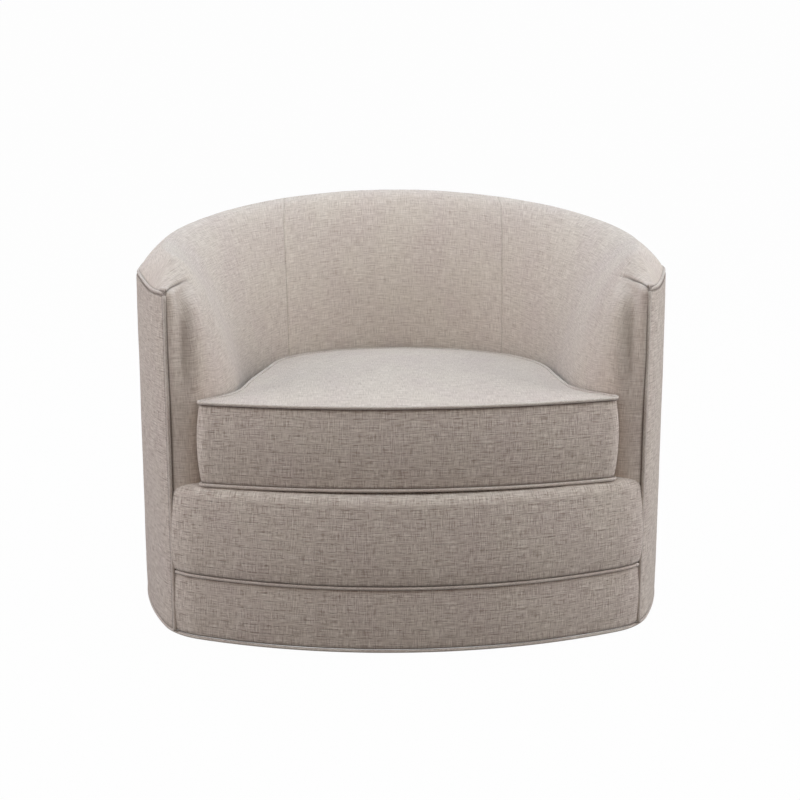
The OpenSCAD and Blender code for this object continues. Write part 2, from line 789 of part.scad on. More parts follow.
core_gap = 0.4;
module cushion_core() {
    in = cushion_in + panel_t + core_gap;
    low = panel_t + core_gap;
    top = welt_r + cushion_h - core_gap;
    bottom_ring = shrunk(cushion_plan(in), 1, low);
    color("khaki") on_seat() loft(concat([bottom_ring], dome(in, top)),
        middles = [lift(crown_mid, low), lift(crown_mid, top + cushion_crown)]);
}

module cushion_top_panel() {
    base = welt_r + cushion_h;
    over_rings = dome(cushion_in, base + panel_t);
    under_rings = dome(cushion_in, base);
    peak = base + cushion_crown;
    color("antiquewhite") on_seat() loft(concat(reversed(under_rings), over_rings),
        middles = [lift(crown_mid, peak), lift(crown_mid, peak + panel_t)]);
}

module cushion_boxing() {
    low = panel_t;
    high = welt_r + cushion_h - core_gap / 2;
    levels = [[0, low], [boxing_bulge, (low + high) / 2], [0, high]];
    rings = concat([for (l = levels) shrunk(cushion_plan(cushion_in - l[0]), 1, l[1])],
        [for (l = reversed(levels)) shrunk(cushion_plan(cushion_in - l[0] + panel_t), 1, l[1])]);
    color("antiquewhite") on_seat() loft(rings, closed = true);
}

module cushion_bottom_panel() {
    color("antiquewhite") on_seat()
        linear_extrude(panel_t - core_gap / 2) polygon(cushion_plan(cushion_in));
}

module cushion_welt(z) {
    color("linen") on_seat() cord([for (p = cushion_plan(0)) lift(p, z)], welt_r, closed = true);
}
module cushion_top_welt() { cushion_welt(welt_r + cushion_h); }
module cushion_bottom_welt() { cushion_welt(welt_r); }

// Zip round the back of the boxing
zip_turn = 45;
slider_rest_turn = 4;
zip_w = 26;
zip_t = 1;
zip_in = 1.2;
zip_r = cushion_r + zip_in;
zip_z = welt_r + cushion_h / 2;
slider_l = 12;
slider_w = 9;
slider_t = 2.2;
pull_l = 18;
pull_w = 6;
pull_t = 0.8;
// The zip lies in a plane parallel to the seat, round a centre of its own
module on_zip(turn) {
    translate([0, cushion_c.y, seat_z(cushion_c.y) + cushion_rest + zip_z])
        rotate([-seat_pitch, 0, 0]) rotate(turn) children();
}
module zip_tape() {
    color("gray") on_zip(90 - zip_turn) rotate_extrude(angle = 2 * zip_turn)
        translate([zip_r, -zip_w / 2]) square([zip_t, zip_w]);
}

// The slider stands at the closed end of the zip, with its pull hanging down
slider_turn = 90 - zip_turn + slider_rest_turn;
slider_in = zip_r + zip_t + lie;
module zip_slider() {
    color("gray") on_zip(slider_turn) translate([slider_in, -slider_l / 2, -slider_w / 2])
        cube([slider_t, slider_l, slider_w]);
}
module zip_pull() {
    color("gray") on_zip(slider_turn)
        translate([slider_in + slider_t + lie, -pull_w / 2, -pull_l])
            cube([pull_t, pull_w, pull_l]);
}

plinth();
glides();
lower_swivel_plate();
bearing_balls();
ball_cage();
swivel_rivet();
lower_plate_screws();
upper_swivel_plate();
upper_plate_screws();
left_swivel_rail();
right_swivel_rail();
bottom_ring();
front_rail();
left_arm_post();
right_arm_post();
left_side_post();
right_side_post();
left_back_post();
middle_back_post();
right_back_post();
seat_ring();
rim_rail();
shell_board();
band_board();
seat_spring_1();
seat_spring_2();
seat_spring_3();
seat_spring_4();
seat_spring_5();
spring_clips();
spring_ties();
seat_deck();
left_arm_pad();
back_pad();
right_arm_pad();
front_apron();
lower_band();
outside_left_panel();
outside_back_panel();
outside_right_panel();
top_welt();
left_arm_welt();
right_arm_welt();
band_welt();
bottom_welt();
dust_cover();
cushion_core();
cushion_top_panel();
cushion_boxing();
cushion_bottom_panel();
cushion_top_welt();
cushion_bottom_welt();
zip_tape();
zip_slider();
zip_pull();
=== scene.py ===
from math import asin, atan2, cos, exp, pi, radians, sin, sqrt, tan
import bmesh
import bpy
import numpy as np
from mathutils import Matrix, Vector, noise


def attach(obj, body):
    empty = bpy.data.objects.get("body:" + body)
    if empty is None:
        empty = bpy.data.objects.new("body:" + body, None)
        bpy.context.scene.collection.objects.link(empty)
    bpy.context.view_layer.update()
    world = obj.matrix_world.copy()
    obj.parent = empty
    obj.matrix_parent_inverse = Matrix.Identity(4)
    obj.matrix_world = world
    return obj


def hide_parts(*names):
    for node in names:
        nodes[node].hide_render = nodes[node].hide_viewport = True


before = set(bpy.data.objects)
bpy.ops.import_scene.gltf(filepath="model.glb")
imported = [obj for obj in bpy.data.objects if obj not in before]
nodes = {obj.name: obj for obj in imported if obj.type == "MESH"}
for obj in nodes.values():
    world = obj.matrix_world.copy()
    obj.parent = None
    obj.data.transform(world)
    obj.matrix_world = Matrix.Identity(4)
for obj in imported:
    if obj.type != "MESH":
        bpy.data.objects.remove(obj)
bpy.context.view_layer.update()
scene = bpy.context.scene
print("frame loaded")

# The plan of the chair in metres, as in the CAD source; angles in degrees
chair = {
    "width": 0.86, "frontDepth": 0.354, "bowRadius": 0.798, "sideRadius": 0.589,
    "cornerRadius": 0.111, "weltAngle": 40.8, "armHeight": 0.554, "backRise": 0.024,
    "rimSag": 0.017, "rimLift": 0.009, "liftStart": 0.035, "liftRise": 0.1,
    "liftEnd": 0.15, "liftFall": 0.12, "crown": 0.045, "crestIn": 0.044,
    "bandHeight": 0.115, "apronHeight": 0.259, "tubWall": 0.172, "flare": 0.002,
    "run": 0.12, "pitch": 4.0, "shelf": 0.05, "floorGap": 0.01, "welt": 0.003,
    "wall": 0.047, "rimDrop": 0.056, "skin": 0.007,
}

halfWidth = chair["width"] / 2
midY = (chair["frontDepth"] - halfWidth) / 2
frontY = midY - chair["frontDepth"]
backY = midY + halfWidth
tubMid = Vector((0, midY))
cavityRadius = halfWidth - chair["tubWall"]
coverLow = chair["floorGap"] + 2 * chair["welt"]


def wayAt(turn):
    return Vector((cos(turn), sin(turn)))


def cornerCentre():
    side = Vector((halfWidth - chair["sideRadius"], midY))
    front = Vector((0, frontY + chair["bowRadius"]))
    sideReach = chair["sideRadius"] - chair["cornerRadius"]
    frontReach = chair["bowRadius"] - chair["cornerRadius"]
    gap = (front - side).length
    way = (front - side) / gap
    along = (gap * gap + sideReach ** 2 - frontReach ** 2) / (2 * gap)
    across = sqrt(sideReach ** 2 - along ** 2)
    return side, front, side + along * way + across * Vector((way.y, -way.x))


sideCentre, frontCentre, corner = cornerCentre()
sideEnd = atan2(corner.y - sideCentre.y, corner.x - sideCentre.x)
frontEnd = atan2(corner.y - frontCentre.y, corner.x - frontCentre.x)
weltTurn = radians(chair["weltAngle"])
cornerWay = wayAt(-weltTurn)
weltSpot = corner + chair["cornerRadius"] * cornerWay


def flip(spot):
    return Vector((-spot[0], spot[1]))


# An arc is centre, radius, first angle and sweep; the paths run anticlockwise from above
rightTurn = (corner, chair["cornerRadius"], -weltTurn, weltTurn + sideEnd)
rightArc = (sideCentre, chair["sideRadius"], sideEnd, -sideEnd)
leftArc = (flip(sideCentre), chair["sideRadius"], pi, -sideEnd)
leftTurn = (flip(corner), chair["cornerRadius"], pi - sideEnd, weltTurn + sideEnd)


def backArc(first, sweep):
    return (tubMid, halfWidth, radians(first), radians(sweep))


backPath = [rightTurn, rightArc, backArc(0, 180), leftArc, leftTurn]
frontPath = [
    (flip(corner), chair["cornerRadius"], pi + weltTurn, -frontEnd - weltTurn),
    (frontCentre, chair["bowRadius"], pi - frontEnd, pi + 2 * frontEnd),
    (corner, chair["cornerRadius"], frontEnd, -frontEnd - weltTurn),
]
wholePath = backPath + frontPath


def pathLength(path):
    return sum(arc[1] * arc[3] for arc in path)


def pathAt(path, share, off=0.0):
    left = share * pathLength(path)
    for arc in path:
        centre, radius, first, sweep = arc
        if left <= radius * sweep or arc is path[-1]:
            return centre + (radius + off) * wayAt(first + left / radius)
        left -= radius * sweep


def smooth(t):
    t = max(0.0, min(1.0, t))
    return t * t * (3 - 2 * t)


# The outer top edge stands a little higher just behind the front corners
def rimLift(y):
    behind = y - weltSpot.y
    up = smooth((behind - chair["liftStart"]) / chair["liftRise"])
    down = smooth((behind - chair["liftEnd"]) / chair["liftFall"])
    return chair["rimLift"] * up * (1 - down)


def rimZ(y):
    t = max(0, y - weltSpot.y) / (backY - weltSpot.y)
    sag = 4 * chair["rimSag"] * t * (1 - t)
    return chair["armHeight"] + chair["backRise"] * t - sag + rimLift(y)


def seatZ(y):
    return chair["apronHeight"] - tan(radians(chair["pitch"])) * (y - frontY - chair["shelf"])


def shelfZ(y):
    return min(chair["apronHeight"], seatZ(y))


def bump(distance, width):
    return exp(-((distance / width) ** 2))


def bezier(points, t):
    a, b, c, d = points
    return (1 - t) ** 3 * a + 3 * (1 - t) ** 2 * t * b + 3 * (1 - t) * t * t * c + t ** 3 * d


# Materials: colours are given as a screen shows them
def shade(red, green, blue):
    linear = [((c / 255 + 0.055) / 1.055) ** 2.4 if c > 10 else c / 3294.6 for c in (red, green, blue)]
    return (*linear, 1.0)


def link(tree, source, target):
    tree.links.new(source, target)


def feed(tree, sockets, values):
    for socket, value in zip(sockets, values):
        if hasattr(value, "is_output"):
            link(tree, value, socket)
        else:
            socket.default_value = value


def calculate(tree, operation, first, second=0.0):
    node = tree.nodes.new("ShaderNodeMath")
    node.operation = operation
    feed(tree, node.inputs, (first, second))
    return node.outputs[0]


def times(tree, first, second):
    return calculate(tree, "MULTIPLY", first, second)


def remap(tree, value, low, high, toLow=0.0, toHigh=1.0):
    node = tree.nodes.new("ShaderNodeMapRange")
    node.interpolation_type = "SMOOTHSTEP"
    link(tree, value, node.inputs["Value"])
    for name, number in (("From Min", low), ("From Max", high), ("To Min", toLow), ("To Max", toHigh)):
        node.inputs[name].default_value = number
    return node.outputs["Result"]


def mixColours(tree, amount, first, second):
    node = tree.nodes.new("ShaderNodeMix")
    node.data_type = "RGBA"
    feed(tree, [node.inputs[k] for k in (0, 6, 7)], (amount, first, second))
    return node.outputs[2]


def scaledNoise(tree, vector, scale, detail=2.0, rough=0.5):
    mapping = tree.nodes.new("ShaderNodeMapping")
    mapping.inputs["Scale"].default_value = scale
    link(tree, vector, mapping.inputs["Vector"])
    node = tree.nodes.new("ShaderNodeTexNoise")
    node.inputs["Scale"].default_value = 1.0
    node.inputs["Detail"].default_value = detail
    node.inputs["Roughness"].default_value = rough
    link(tree, mapping.outputs[0], node.inputs["Vector"])
    return node.outputs["Fac"]


def newGroup(name, inputs, outputs):
    group = bpy.data.node_groups.new(name, "ShaderNodeTree")
    for way, sockets in (("INPUT", inputs), ("OUTPUT", outputs)):
        for label, kind in sockets.items():
            group.interface.new_socket(name=label, in_out=way, socket_type="NodeSocket" + kind)
    return group, group.nodes.new("NodeGroupInput").outputs, group.nodes.new("NodeGroupOutput").inputs


# Sizes of the weave, in metres and in threads to the metre. Each streak has the noise that it follows,
# where it starts and is full, and its colour
linenWeave = {
    "rowPitch": 0.0132,
    "rowWidth": 0.001,
    "dashes": 150.0,
    "weft": (46.0, 660.0, 1.0),
    "warp": (660.0, 54.0, 1.0),
    "clouds": (11.0, 8.0, 1.0),
    "thread": 0.0021,
    "streak": 0.58,
    "streaks": (
        ("weft", 0.5, 0.68, "Dark thread"), ("weft", 0.5, 0.34, "Pale thread"),
        ("warp", 0.48, 0.32, "Pale thread"), ("warp", 0.52, 0.7, "Dark thread")),
    "dash": 0.4,
    "dashRange": (0.44, 0.62),
    "rowStep": 3.7,
    "cloudRange": (0.35, 0.7),
    "weaveHeight": 0.2,
    "dashHeight": 0.5,
    "relief": 0.0011,
    "calmed": 0.6,
}


def wovenGroup():
    tree, given, put = newGroup(
        "wovenLinen",
        {"Cloth": "Vector", "Ground": "Color", "Dark thread": "Color", "Pale thread": "Color",
         "Tint": "Color", "Rows": "Float", "Slubs": "Float"},
        {"Color": "Color", "Height": "Float", "Nap": "Float"})
    cloth = given["Cloth"]
    threads = {way: scaledNoise(tree, cloth, linenWeave[way], 3.0, 0.6) for way in ("weft", "warp")}
    clouds = scaledNoise(tree, cloth, linenWeave["clouds"], 4.0, 0.55)
    parts = tree.nodes.new("ShaderNodeSeparateXYZ")
    link(tree, cloth, parts.inputs[0])
    rows = calculate(tree, "DIVIDE", parts.outputs[1], linenWeave["rowPitch"])
    rowNumber = calculate(tree, "FLOOR", rows)
    inRow = calculate(tree, "SUBTRACT", calculate(tree, "FRACT", rows), 0.5)
    middle = calculate(tree, "ABSOLUTE", inRow)
    onRow = remap(tree, middle, 0.0, linenWeave["rowWidth"] / linenWeave["rowPitch"], 1.0, 0.0)
    dashSpot = tree.nodes.new("ShaderNodeCombineXYZ")
    link(tree, times(tree, parts.outputs[0], linenWeave["dashes"]), dashSpot.inputs[0])
    link(tree, times(tree, rowNumber, linenWeave["rowStep"]), dashSpot.inputs[1])
    dashNoise = scaledNoise(tree, dashSpot.outputs[0], (1.0, 1.0, 1.0), 1.0)
    dashes = times(tree, onRow, remap(tree, dashNoise, *linenWeave["dashRange"]))
    dashes = times(tree, dashes, given["Rows"])
    tinted = remap(tree, clouds, *linenWeave["cloudRange"])
    colour = mixColours(tree, tinted, given["Ground"], given["Tint"])
    for way, start, full, thread in linenWeave["streaks"]:
        amount = times(tree, remap(tree, threads[way], start, full), given["Slubs"])
        colour = mixColours(tree, times(tree, amount, linenWeave["streak"]), colour, given[thread])
    colour = mixColours(tree, times(tree, dashes, linenWeave["dash"]), colour, given["Dark thread"])
    turn = 2 * pi / linenWeave["thread"]
    over = calculate(tree, "SINE", times(tree, parts.outputs[0], turn))
    under = calculate(tree, "SINE", times(tree, parts.outputs[1], turn))
    weave = times(tree, over, under)
    height = calculate(tree, "ADD", times(tree, weave, linenWeave["weaveHeight"]), threads["weft"])
    height = calculate(tree, "ADD", height, threads["warp"])
    height = calculate(tree, "ADD", height, times(tree, dashes, linenWeave["dashHeight"]))
    link(tree, colour, put["Color"])
    link(tree, height, put["Height"])
    link(tree, clouds, put["Nap"])
    return tree


woven = wovenGroup()

# The seam colour is the dark colour of the painted shade at seams, welts, pleats and hollows
linenLook = {
    "Ground": shade(196, 183, 172), "Dark thread": shade(142, 125, 113),
    "Pale thread": shade(223, 213, 203), "Tint": shade(191, 176, 168),
    "seam": shade(84, 72, 64), "rough": 0.92, "sheen": 0.12, "bump": 1.0,
}


def startMaterial(name):
    material = bpy.data.materials.new(name)
    material.use_nodes = True
    tree = material.node_tree
    shader = tree.nodes["Principled BSDF"]
    return material, tree, shader


def addGroup(tree, made):
    group = tree.nodes.new("ShaderNodeGroup")
    group.node_tree = made
    return group


def attribute(tree, name):
    node = tree.nodes.new("ShaderNodeAttribute")
    node.attribute_name = name
    return node.outputs["Fac"]


def addRelief(tree, shader, height, strength, distance):
    relief = tree.nodes.new("ShaderNodeBump")
    relief.inputs["Strength"].default_value = strength
    relief.inputs["Distance"].default_value = distance
    link(tree, height, relief.inputs["Height"])
    link(tree, relief.outputs[0], shader.inputs["Normal"])


def clothMaterial(name, look, rows, slubs):
    material, tree, shader = startMaterial(name)
    uv = tree.nodes.new("ShaderNodeUVMap")
    uv.uv_map = "weave"
    group = addGroup(tree, woven)
    link(tree, uv.outputs[0], group.inputs["Cloth"])
    for label in ("Ground", "Dark thread", "Pale thread", "Tint"):
        group.inputs[label].default_value = look[label]
    strong = remap(tree, attribute(tree, "calm"), 0.0, 1.0, 1.0, linenWeave["calmed"])
    link(tree, times(tree, strong, rows), group.inputs["Rows"])
    link(tree, times(tree, strong, slubs), group.inputs["Slubs"])
    # Painted shade: the attribute read here darkens the cloth towards the seam colour beside seams,
    # welts, pleats and hollows
    colour = mixColours(tree, attribute(tree, "paintedShade"), group.outputs["Color"], look["seam"])
    link(tree, colour, shader.inputs["Base Color"])
    link(tree, remap(tree, group.outputs["Nap"], 0.3, 0.7, look["rough"] - 0.05, look["rough"] + 0.03),
         shader.inputs["Roughness"])
    shader.inputs["Sheen Weight"].default_value = look["sheen"]
    shader.inputs["Sheen Roughness"].default_value = 0.6
    shader.inputs["Specular IOR Level"].default_value = 0.25
    height = times(tree, strong, group.outputs["Height"])
    addRelief(tree, shader, height, look["bump"], linenWeave["relief"])
    return material


linen = clothMaterial("linen", linenLook, 1.6, 1.2)
softLinen = clothMaterial("softLinen", {**linenLook, "bump": 0.6}, 0.6, 0.75)
# The welts' paler ground is a painted highlight along the round cords
weltLinen = clothMaterial("weltLinen", {**linenLook, "Ground": shade(200, 190, 181)}, 0.15, 0.6)

# The deck's seam colour is a painted shade colour too, but the deck's shade mask stays at zero
deckLook = {
    "Ground": shade(178, 168, 158), "Dark thread": shade(150, 140, 130),
    "Pale thread": shade(190, 181, 172), "Tint": shade(176, 166, 157),
    "seam": shade(100, 90, 82), "rough": 0.95, "sheen": 0.05, "bump": 0.2,
}
deckCloth = clothMaterial("deckCloth", deckLook, 0.0, 0.35)


def grainGroup():
    tree, given, put = newGroup(
        "woodGrain", {"Spot": "Vector", "Pale": "Color", "Dark": "Color"},
        {"Color": "Color", "Height": "Float"})
    rings = scaledNoise(tree, given["Spot"], (90.0, 90.0, 6.0), 5.0, 0.6)
    pores = scaledNoise(tree, given["Spot"], (900.0, 900.0, 40.0), 2.0)
    colour = mixColours(tree, remap(tree, rings, 0.35, 0.65), given["Pale"], given["Dark"])
    colour = mixColours(tree, remap(tree, pores, 0.62, 0.8, 0.0, 0.35), colour, given["Dark"])
    link(tree, colour, put["Color"])
    link(tree, calculate(tree, "ADD", rings, pores), put["Height"])
    return tree


grain = grainGroup()


def objectCoordinates(tree):
    return tree.nodes.new("ShaderNodeTexCoord").outputs["Object"]


def woodMaterial(name, pale, dark, rough):
    material, tree, shader = startMaterial(name)
    group = addGroup(tree, grain)
    link(tree, objectCoordinates(tree), group.inputs["Spot"])
    group.inputs["Pale"].default_value = pale
    group.inputs["Dark"].default_value = dark
    link(tree, group.outputs["Color"], shader.inputs["Base Color"])
    shader.inputs["Roughness"].default_value = rough
    addRelief(tree, shader, group.outputs["Height"], 0.25, 0.0004)
    return material


def wornMaterial(name, colour, worn, rough, metal, scale=60.0, roughSpread=0.12):
    material, tree, shader = startMaterial(name)
    spot = objectCoordinates(tree)
    clouds = scaledNoise(tree, spot, (scale, scale, scale), 5.0, 0.6)
    scratches = scaledNoise(tree, spot, (scale * 12, scale * 12, scale), 2.0)
    mixed = mixColours(tree, remap(tree, clouds, 0.4, 0.7), colour, worn)
    link(tree, mixed, shader.inputs["Base Color"])
    link(tree, remap(tree, scratches, 0.3, 0.7, rough - roughSpread, rough + roughSpread),
         shader.inputs["Roughness"])
    shader.inputs["Metallic"].default_value = metal
    addRelief(tree, shader, scratches, 0.12, 0.0003)
    return material


frameWood = woodMaterial("frameWood", shade(206, 176, 134), shade(172, 136, 94), 0.62)
plinthWood = woodMaterial("plinthWood", shade(46, 36, 30), shade(26, 20, 17), 0.5)
shellBoard = wornMaterial("shellBoard", shade(158, 132, 98), shade(136, 112, 82), 0.8, 0.0, 140.0)
swivelSteel = wornMaterial("swivelSteel", shade(70, 72, 75), shade(52, 53, 55), 0.42, 0.9)
ballSteel = wornMaterial("ballSteel", shade(176, 178, 180), shade(150, 152, 155), 0.18, 1.0, 200.0, 0.05)
cageBrass = wornMaterial("cageBrass", shade(196, 160, 92), shade(160, 124, 66), 0.34, 1.0, 120.0)
springSteel = wornMaterial("springSteel", shade(44, 42, 42), shade(62, 56, 52), 0.45, 0.85, 150.0)
screwSteel = wornMaterial("screwSteel", shade(150, 150, 146), shade(122, 120, 112), 0.35, 1.0, 220.0)
tieCord = wornMaterial("tieCord", shade(140, 112, 78), shade(112, 88, 60), 0.85, 0.0, 400.0)
glidePlastic = wornMaterial("glidePlastic", shade(58, 58, 60), shade(80, 78, 76), 0.5, 0.0, 90.0)
fillFoam = wornMaterial("fillFoam", shade(226, 214, 176), shade(208, 194, 156), 0.95, 0.0, 500.0)
dustCloth = wornMaterial("dustCloth", shade(28, 27, 28), shade(42, 40, 41), 0.95, 0.0, 700.0)
zipCloth = wornMaterial("zipCloth", shade(158, 148, 139), shade(140, 130, 121), 0.9, 0.0, 600.0)
zipMetal = wornMaterial("zipMetal", shade(150, 142, 128), shade(118, 110, 98), 0.3, 1.0, 300.0)

nodeLooks = {
    "plinth": plinthWood, "glides": glidePlastic, "lower_swivel_plate": swivelSteel,
    "bearing_balls": ballSteel, "ball_cage": cageBrass, "swivel_rivet": swivelSteel,
    "lower_plate_screws": screwSteel, "upper_swivel_plate": swivelSteel,
    "upper_plate_screws": screwSteel, "shell_board": shellBoard, "band_board": shellBoard,
    "spring_clips": swivelSteel, "spring_ties": tieCord, "cushion_core": fillFoam,
    "zip_slider": zipMetal, "zip_pull": zipMetal, "zip_tape": zipCloth,
}
for name, node in nodes.items():
    look = nodeLooks.get(name, springSteel if name.startswith("seat_spring") else frameWood)
    node.data.materials.clear()
    node.data.materials.append(look)
print("materials made")


# Pieces
def placeObject(name, data):
    made = bpy.data.objects.new(name, data)
    scene.collection.objects.link(made)
    return made


def placeMesh(bm, name, material):
    mesh = bpy.data.meshes.new(name)
    bm.to_mesh(mesh)
    bm.free()
    mesh.materials.append(material)
    return placeObject(name, mesh)


def keepPiece(bm, name, material, replaced, body="chair"):
    piece = placeMesh(bm, name, material)
    for face in piece.data.polygons:
        face.use_smooth = True
    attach(piece, body)
    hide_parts(*replaced)
    return piece


# Lumps to the metre in the padding, coarse and fine, and the share of a length at 45 degrees
coarseLumps, fineLumps = 9.0, 23.0
diagonal = 0.7071


def unevenness(spot, height):
    if not height:
        return 0.0
    return height * (noise.noise(spot * coarseLumps) + 0.5 * noise.noise(spot * fineLumps))


# A grid laid over a surface: place gives the spot, how far it stands out and how much painted shade it
# gets at seams and folds.
# The cloth's own lengths become the UV map, so the weave follows the surface
def layGrid(columns, rows, place, joinU=False, joinV=False, reference=0.0, bias=False, uneven=0.0):
    spots = np.zeros((columns + 1, rows + 1, 3))
    dents = np.zeros((columns + 1, rows + 1))
    paintedShades = np.zeros((columns + 1, rows + 1))
    for i in range(columns + 1):
        for j in range(rows + 1):
            spot, dents[i, j], paintedShades[i, j] = place(i / columns, j / rows)
            spots[i, j] = spot
            dents[i, j] += unevenness(Vector(spot), uneven)
    along = np.gradient(spots, axis=0)
    across = np.gradient(spots, axis=1)
    if joinU:
        along[0] = along[-1] = spots[1] - spots[-2]
    if joinV:
        across[:, 0] = across[:, -1] = spots[:, 1] - spots[:, -2]
    normals = np.cross(along, across)
    normals /= np.maximum(np.linalg.norm(normals, axis=2, keepdims=True), 1e-12)
    spots += normals * dents[:, :, None]
    row = round(reference * rows)
    stepsU = np.linalg.norm(np.diff(spots[:, row], axis=0), axis=1)
    stepsV = np.linalg.norm(np.diff(spots, axis=1), axis=2)
    lengthU = np.concatenate([[0], np.cumsum(stepsU)])
    lengthV = np.concatenate([np.zeros((columns + 1, 1)), np.cumsum(stepsV, axis=1)], axis=1)
    lengthV -= lengthV[:, row:row + 1]
    bm = bmesh.new()
    bmesh.ops.create_grid(bm, x_segments=columns, y_segments=rows, size=0.5)
    weave = bm.loops.layers.uv.new("weave")
    # Painted shade per vertex, from 0 to 1
    paintedShade = bm.verts.layers.float.new("paintedShade")
    places = {v: (round((v.co.x + 0.5) * columns), round((v.co.y + 0.5) * rows)) for v in bm.verts}
    for face in bm.faces:
        for loop in face.loops:
            i, j = places[loop.vert]
            u, v = lengthU[i], lengthV[i, j]
            loop[weave].uv = ((u + v) * diagonal, (v - u) * diagonal) if bias else (u, v)
    for vert, (i, j) in places.items():
        vert.co = spots[i, j]
        vert[paintedShade] = paintedShades[i, j]
    if joinU or joinV:
        bmesh.ops.remove_doubles(bm, verts=bm.verts, dist=1e-5)
    return bm


def closeEnds(bm):
    edges = [e for e in bm.edges if e.is_boundary]
    if edges:
        bmesh.ops.holes_fill(bm, edges=edges, sides=0)
    bmesh.ops.recalc_face_normals(bm, faces=bm.faces)


def thicken(piece, thickness):
    solid = piece.modifiers.new("thickness", "SOLIDIFY")
    solid.thickness = thickness
    solid.offset = -1.0


# The outside covers roll in at their seams and under the welts
outsideCover = {
    "seamTurn": 48.0, "edgeRoll": 0.007, "edgeDepth": 0.0026, "thickness": 0.0012,
    "puff": 0.0005, "weltIn": 0.0034, "armWeltOut": 0.0022, "armWeltShade": 0.0056,
    "sideShade": 0.0015, "topShade": 0.0016, "footDepth": 0.6, "puffTop": 0.06,
    "puffReach": 0.05, "underWelt": 0.6, "rowLength": 0.006, "rows": 110,
}


def edgeDip(distance, roll, depth):
    if distance >= roll:
        return 0.0
    return -depth * (1 - sqrt(max(0.0, 1 - (1 - distance / roll) ** 2)))


# Painted shade beside a seam: darkest at the seam, fading out over the width
def seamShade(distance, width=0.0026):
    return bump(distance, width) * 0.75


# Steps that close up towards both ends, for the seams there
def closer(share):
    return 0.5 - 0.5 * cos(pi * share)


def coverPanel(name, path, cover):
    length = pathLength(path)
    shadeAt = 0.0 if name == "outside_backCover" else cover["armWeltShade"]

    def place(u, v):
        u, v = closer(u), closer(v)
        spot = pathAt(path, u)
        top = rimZ(spot.y) - chair["welt"] * cover["underWelt"]
        z = coverLow + (top - coverLow) * v
        toSide = min(u, 1 - u) * length
        toTop, toFoot = top - z, z - coverLow
        dent = edgeDip(toSide, cover["edgeRoll"], cover["edgeDepth"])
        dent += edgeDip(toTop, cover["edgeRoll"], cover["edgeDepth"])
        dent += edgeDip(toFoot, cover["edgeRoll"], cover["edgeDepth"] * cover["footDepth"])
        reach = cover["puffReach"]
        dent += (cover["puff"] * smooth(toTop / cover["puffTop"])
                 * smooth(toSide / reach) * smooth(toFoot / reach))
        # Painted shade beside the side seams, under the top welt and above the bottom welt
        sidePaintedShade = seamShade(toSide - shadeAt, cover["sideShade"])
        topPaintedShade = seamShade(toTop - cover["topShade"], cover["topShade"])
        return (spot.x, spot.y, z), dent, max(sidePaintedShade, topPaintedShade, seamShade(toFoot))

    columns = int(length / cover["rowLength"])
    bm = layGrid(columns, cover["rows"], place, uneven=0.0005)
    node = name.replace("Cover", "_panel").lower()
    thicken(keepPiece(bm, name, linen, [node]), cover["thickness"])


seamTurn = outsideCover["seamTurn"]
coverPanel("outside_rightCover", [rightTurn, rightArc, backArc(0, seamTurn)], outsideCover)
coverPanel("outside_backCover", [backArc(seamTurn, 180 - 2 * seamTurn)], outsideCover)
coverPanel("outside_leftCover", [backArc(180 - seamTurn, seamTurn), leftArc, leftTurn], outsideCover)
print("outside covers made")


# Welts: a cord in bias cut cloth
weltCloth = {
    "sides": 14, "step": 0.001, "rowLength": 0.006, "bandEnd": 0.007, "bottomIn": 0.002,
    "armLength": 0.53, "cushionLength": 1.9,
}


def weltCord(name, along, length, radius, replaced, body="chair", closed=False):
    def place(u, v):
        spot = Vector(along(u))
        step = weltCloth["step"]
        way = (Vector(along(u + step)) - Vector(along(u - step))).normalized()
        side = way.cross(Vector((0, 0, 1)))
        side = side.normalized() if side.length > 0.1 else Vector((1, 0, 0))
        up = side.cross(way)
        turn = 2 * pi * v
        return spot + radius * (cos(turn) * side + sin(turn) * up), 0.0, 0.0

    columns = int(length / weltCloth["rowLength"])
    bm = layGrid(columns, weltCloth["sides"], place, joinU=closed, joinV=True, bias=True, uneven=0.0001)
    closeEnds(bm)
    return keepPiece(bm, name, weltLinen, [replaced], body)


def topWeltAt(share):
    spot = pathAt(backPath, share, -outsideCover["weltIn"])
    return spot.x, spot.y, rimZ(spot.y)


def armWeltAt(side):
    low, high = coverLow, chair["armHeight"] - chair["welt"]
    spot = weltSpot - Vector((0, outsideCover["armWeltOut"]))
    return lambda share: (side * spot.x, spot.y, low + (high - low) * share)


def bandWeltAt(share):
    inset = weltCloth["bandEnd"] / pathLength(frontPath)
    spot = pathAt(frontPath, inset + (1 - 2 * inset) * share)
    return spot.x, spot.y, chair["bandHeight"]


def bottomWeltAt(share):
    spot = pathAt(wholePath, share % 1.0, -weltCloth["bottomIn"])
    return spot.x, spot.y, chair["floorGap"] + chair["welt"]


weltRadius = chair["welt"]
cordRadius = 0.0025
weltCord("topWelt", topWeltAt, pathLength(backPath), cordRadius, "top_welt")
for name, side in (("left", -1), ("right", 1)):
    weltCord(name + "ArmWelt", armWeltAt(side), weltCloth["armLength"], weltRadius, name + "_arm_welt")
weltCord("bandWelt", bandWeltAt, pathLength(frontPath), cordRadius, "band_welt")
weltCord("bottomWelt", bottomWeltAt, pathLength(wholePath), cordRadius, "bottom_welt", closed=True)
print("welts made")

# The rolled apron and the lower band
frontCover = {
    "roll": 0.019, "bulge": 0.006, "bandBulge": 0.002, "endRoll": 0.01, "endDepth": 0.0045,
    "footRoll": 0.007, "footDepth": 0.0024, "bandRoll": 0.006, "bandDepth": 0.002,
    "underWelt": 0.6, "faceShare": 0.62, "rollShare": 0.86, "columns": 200,
    "thickness": 0.0012,
}


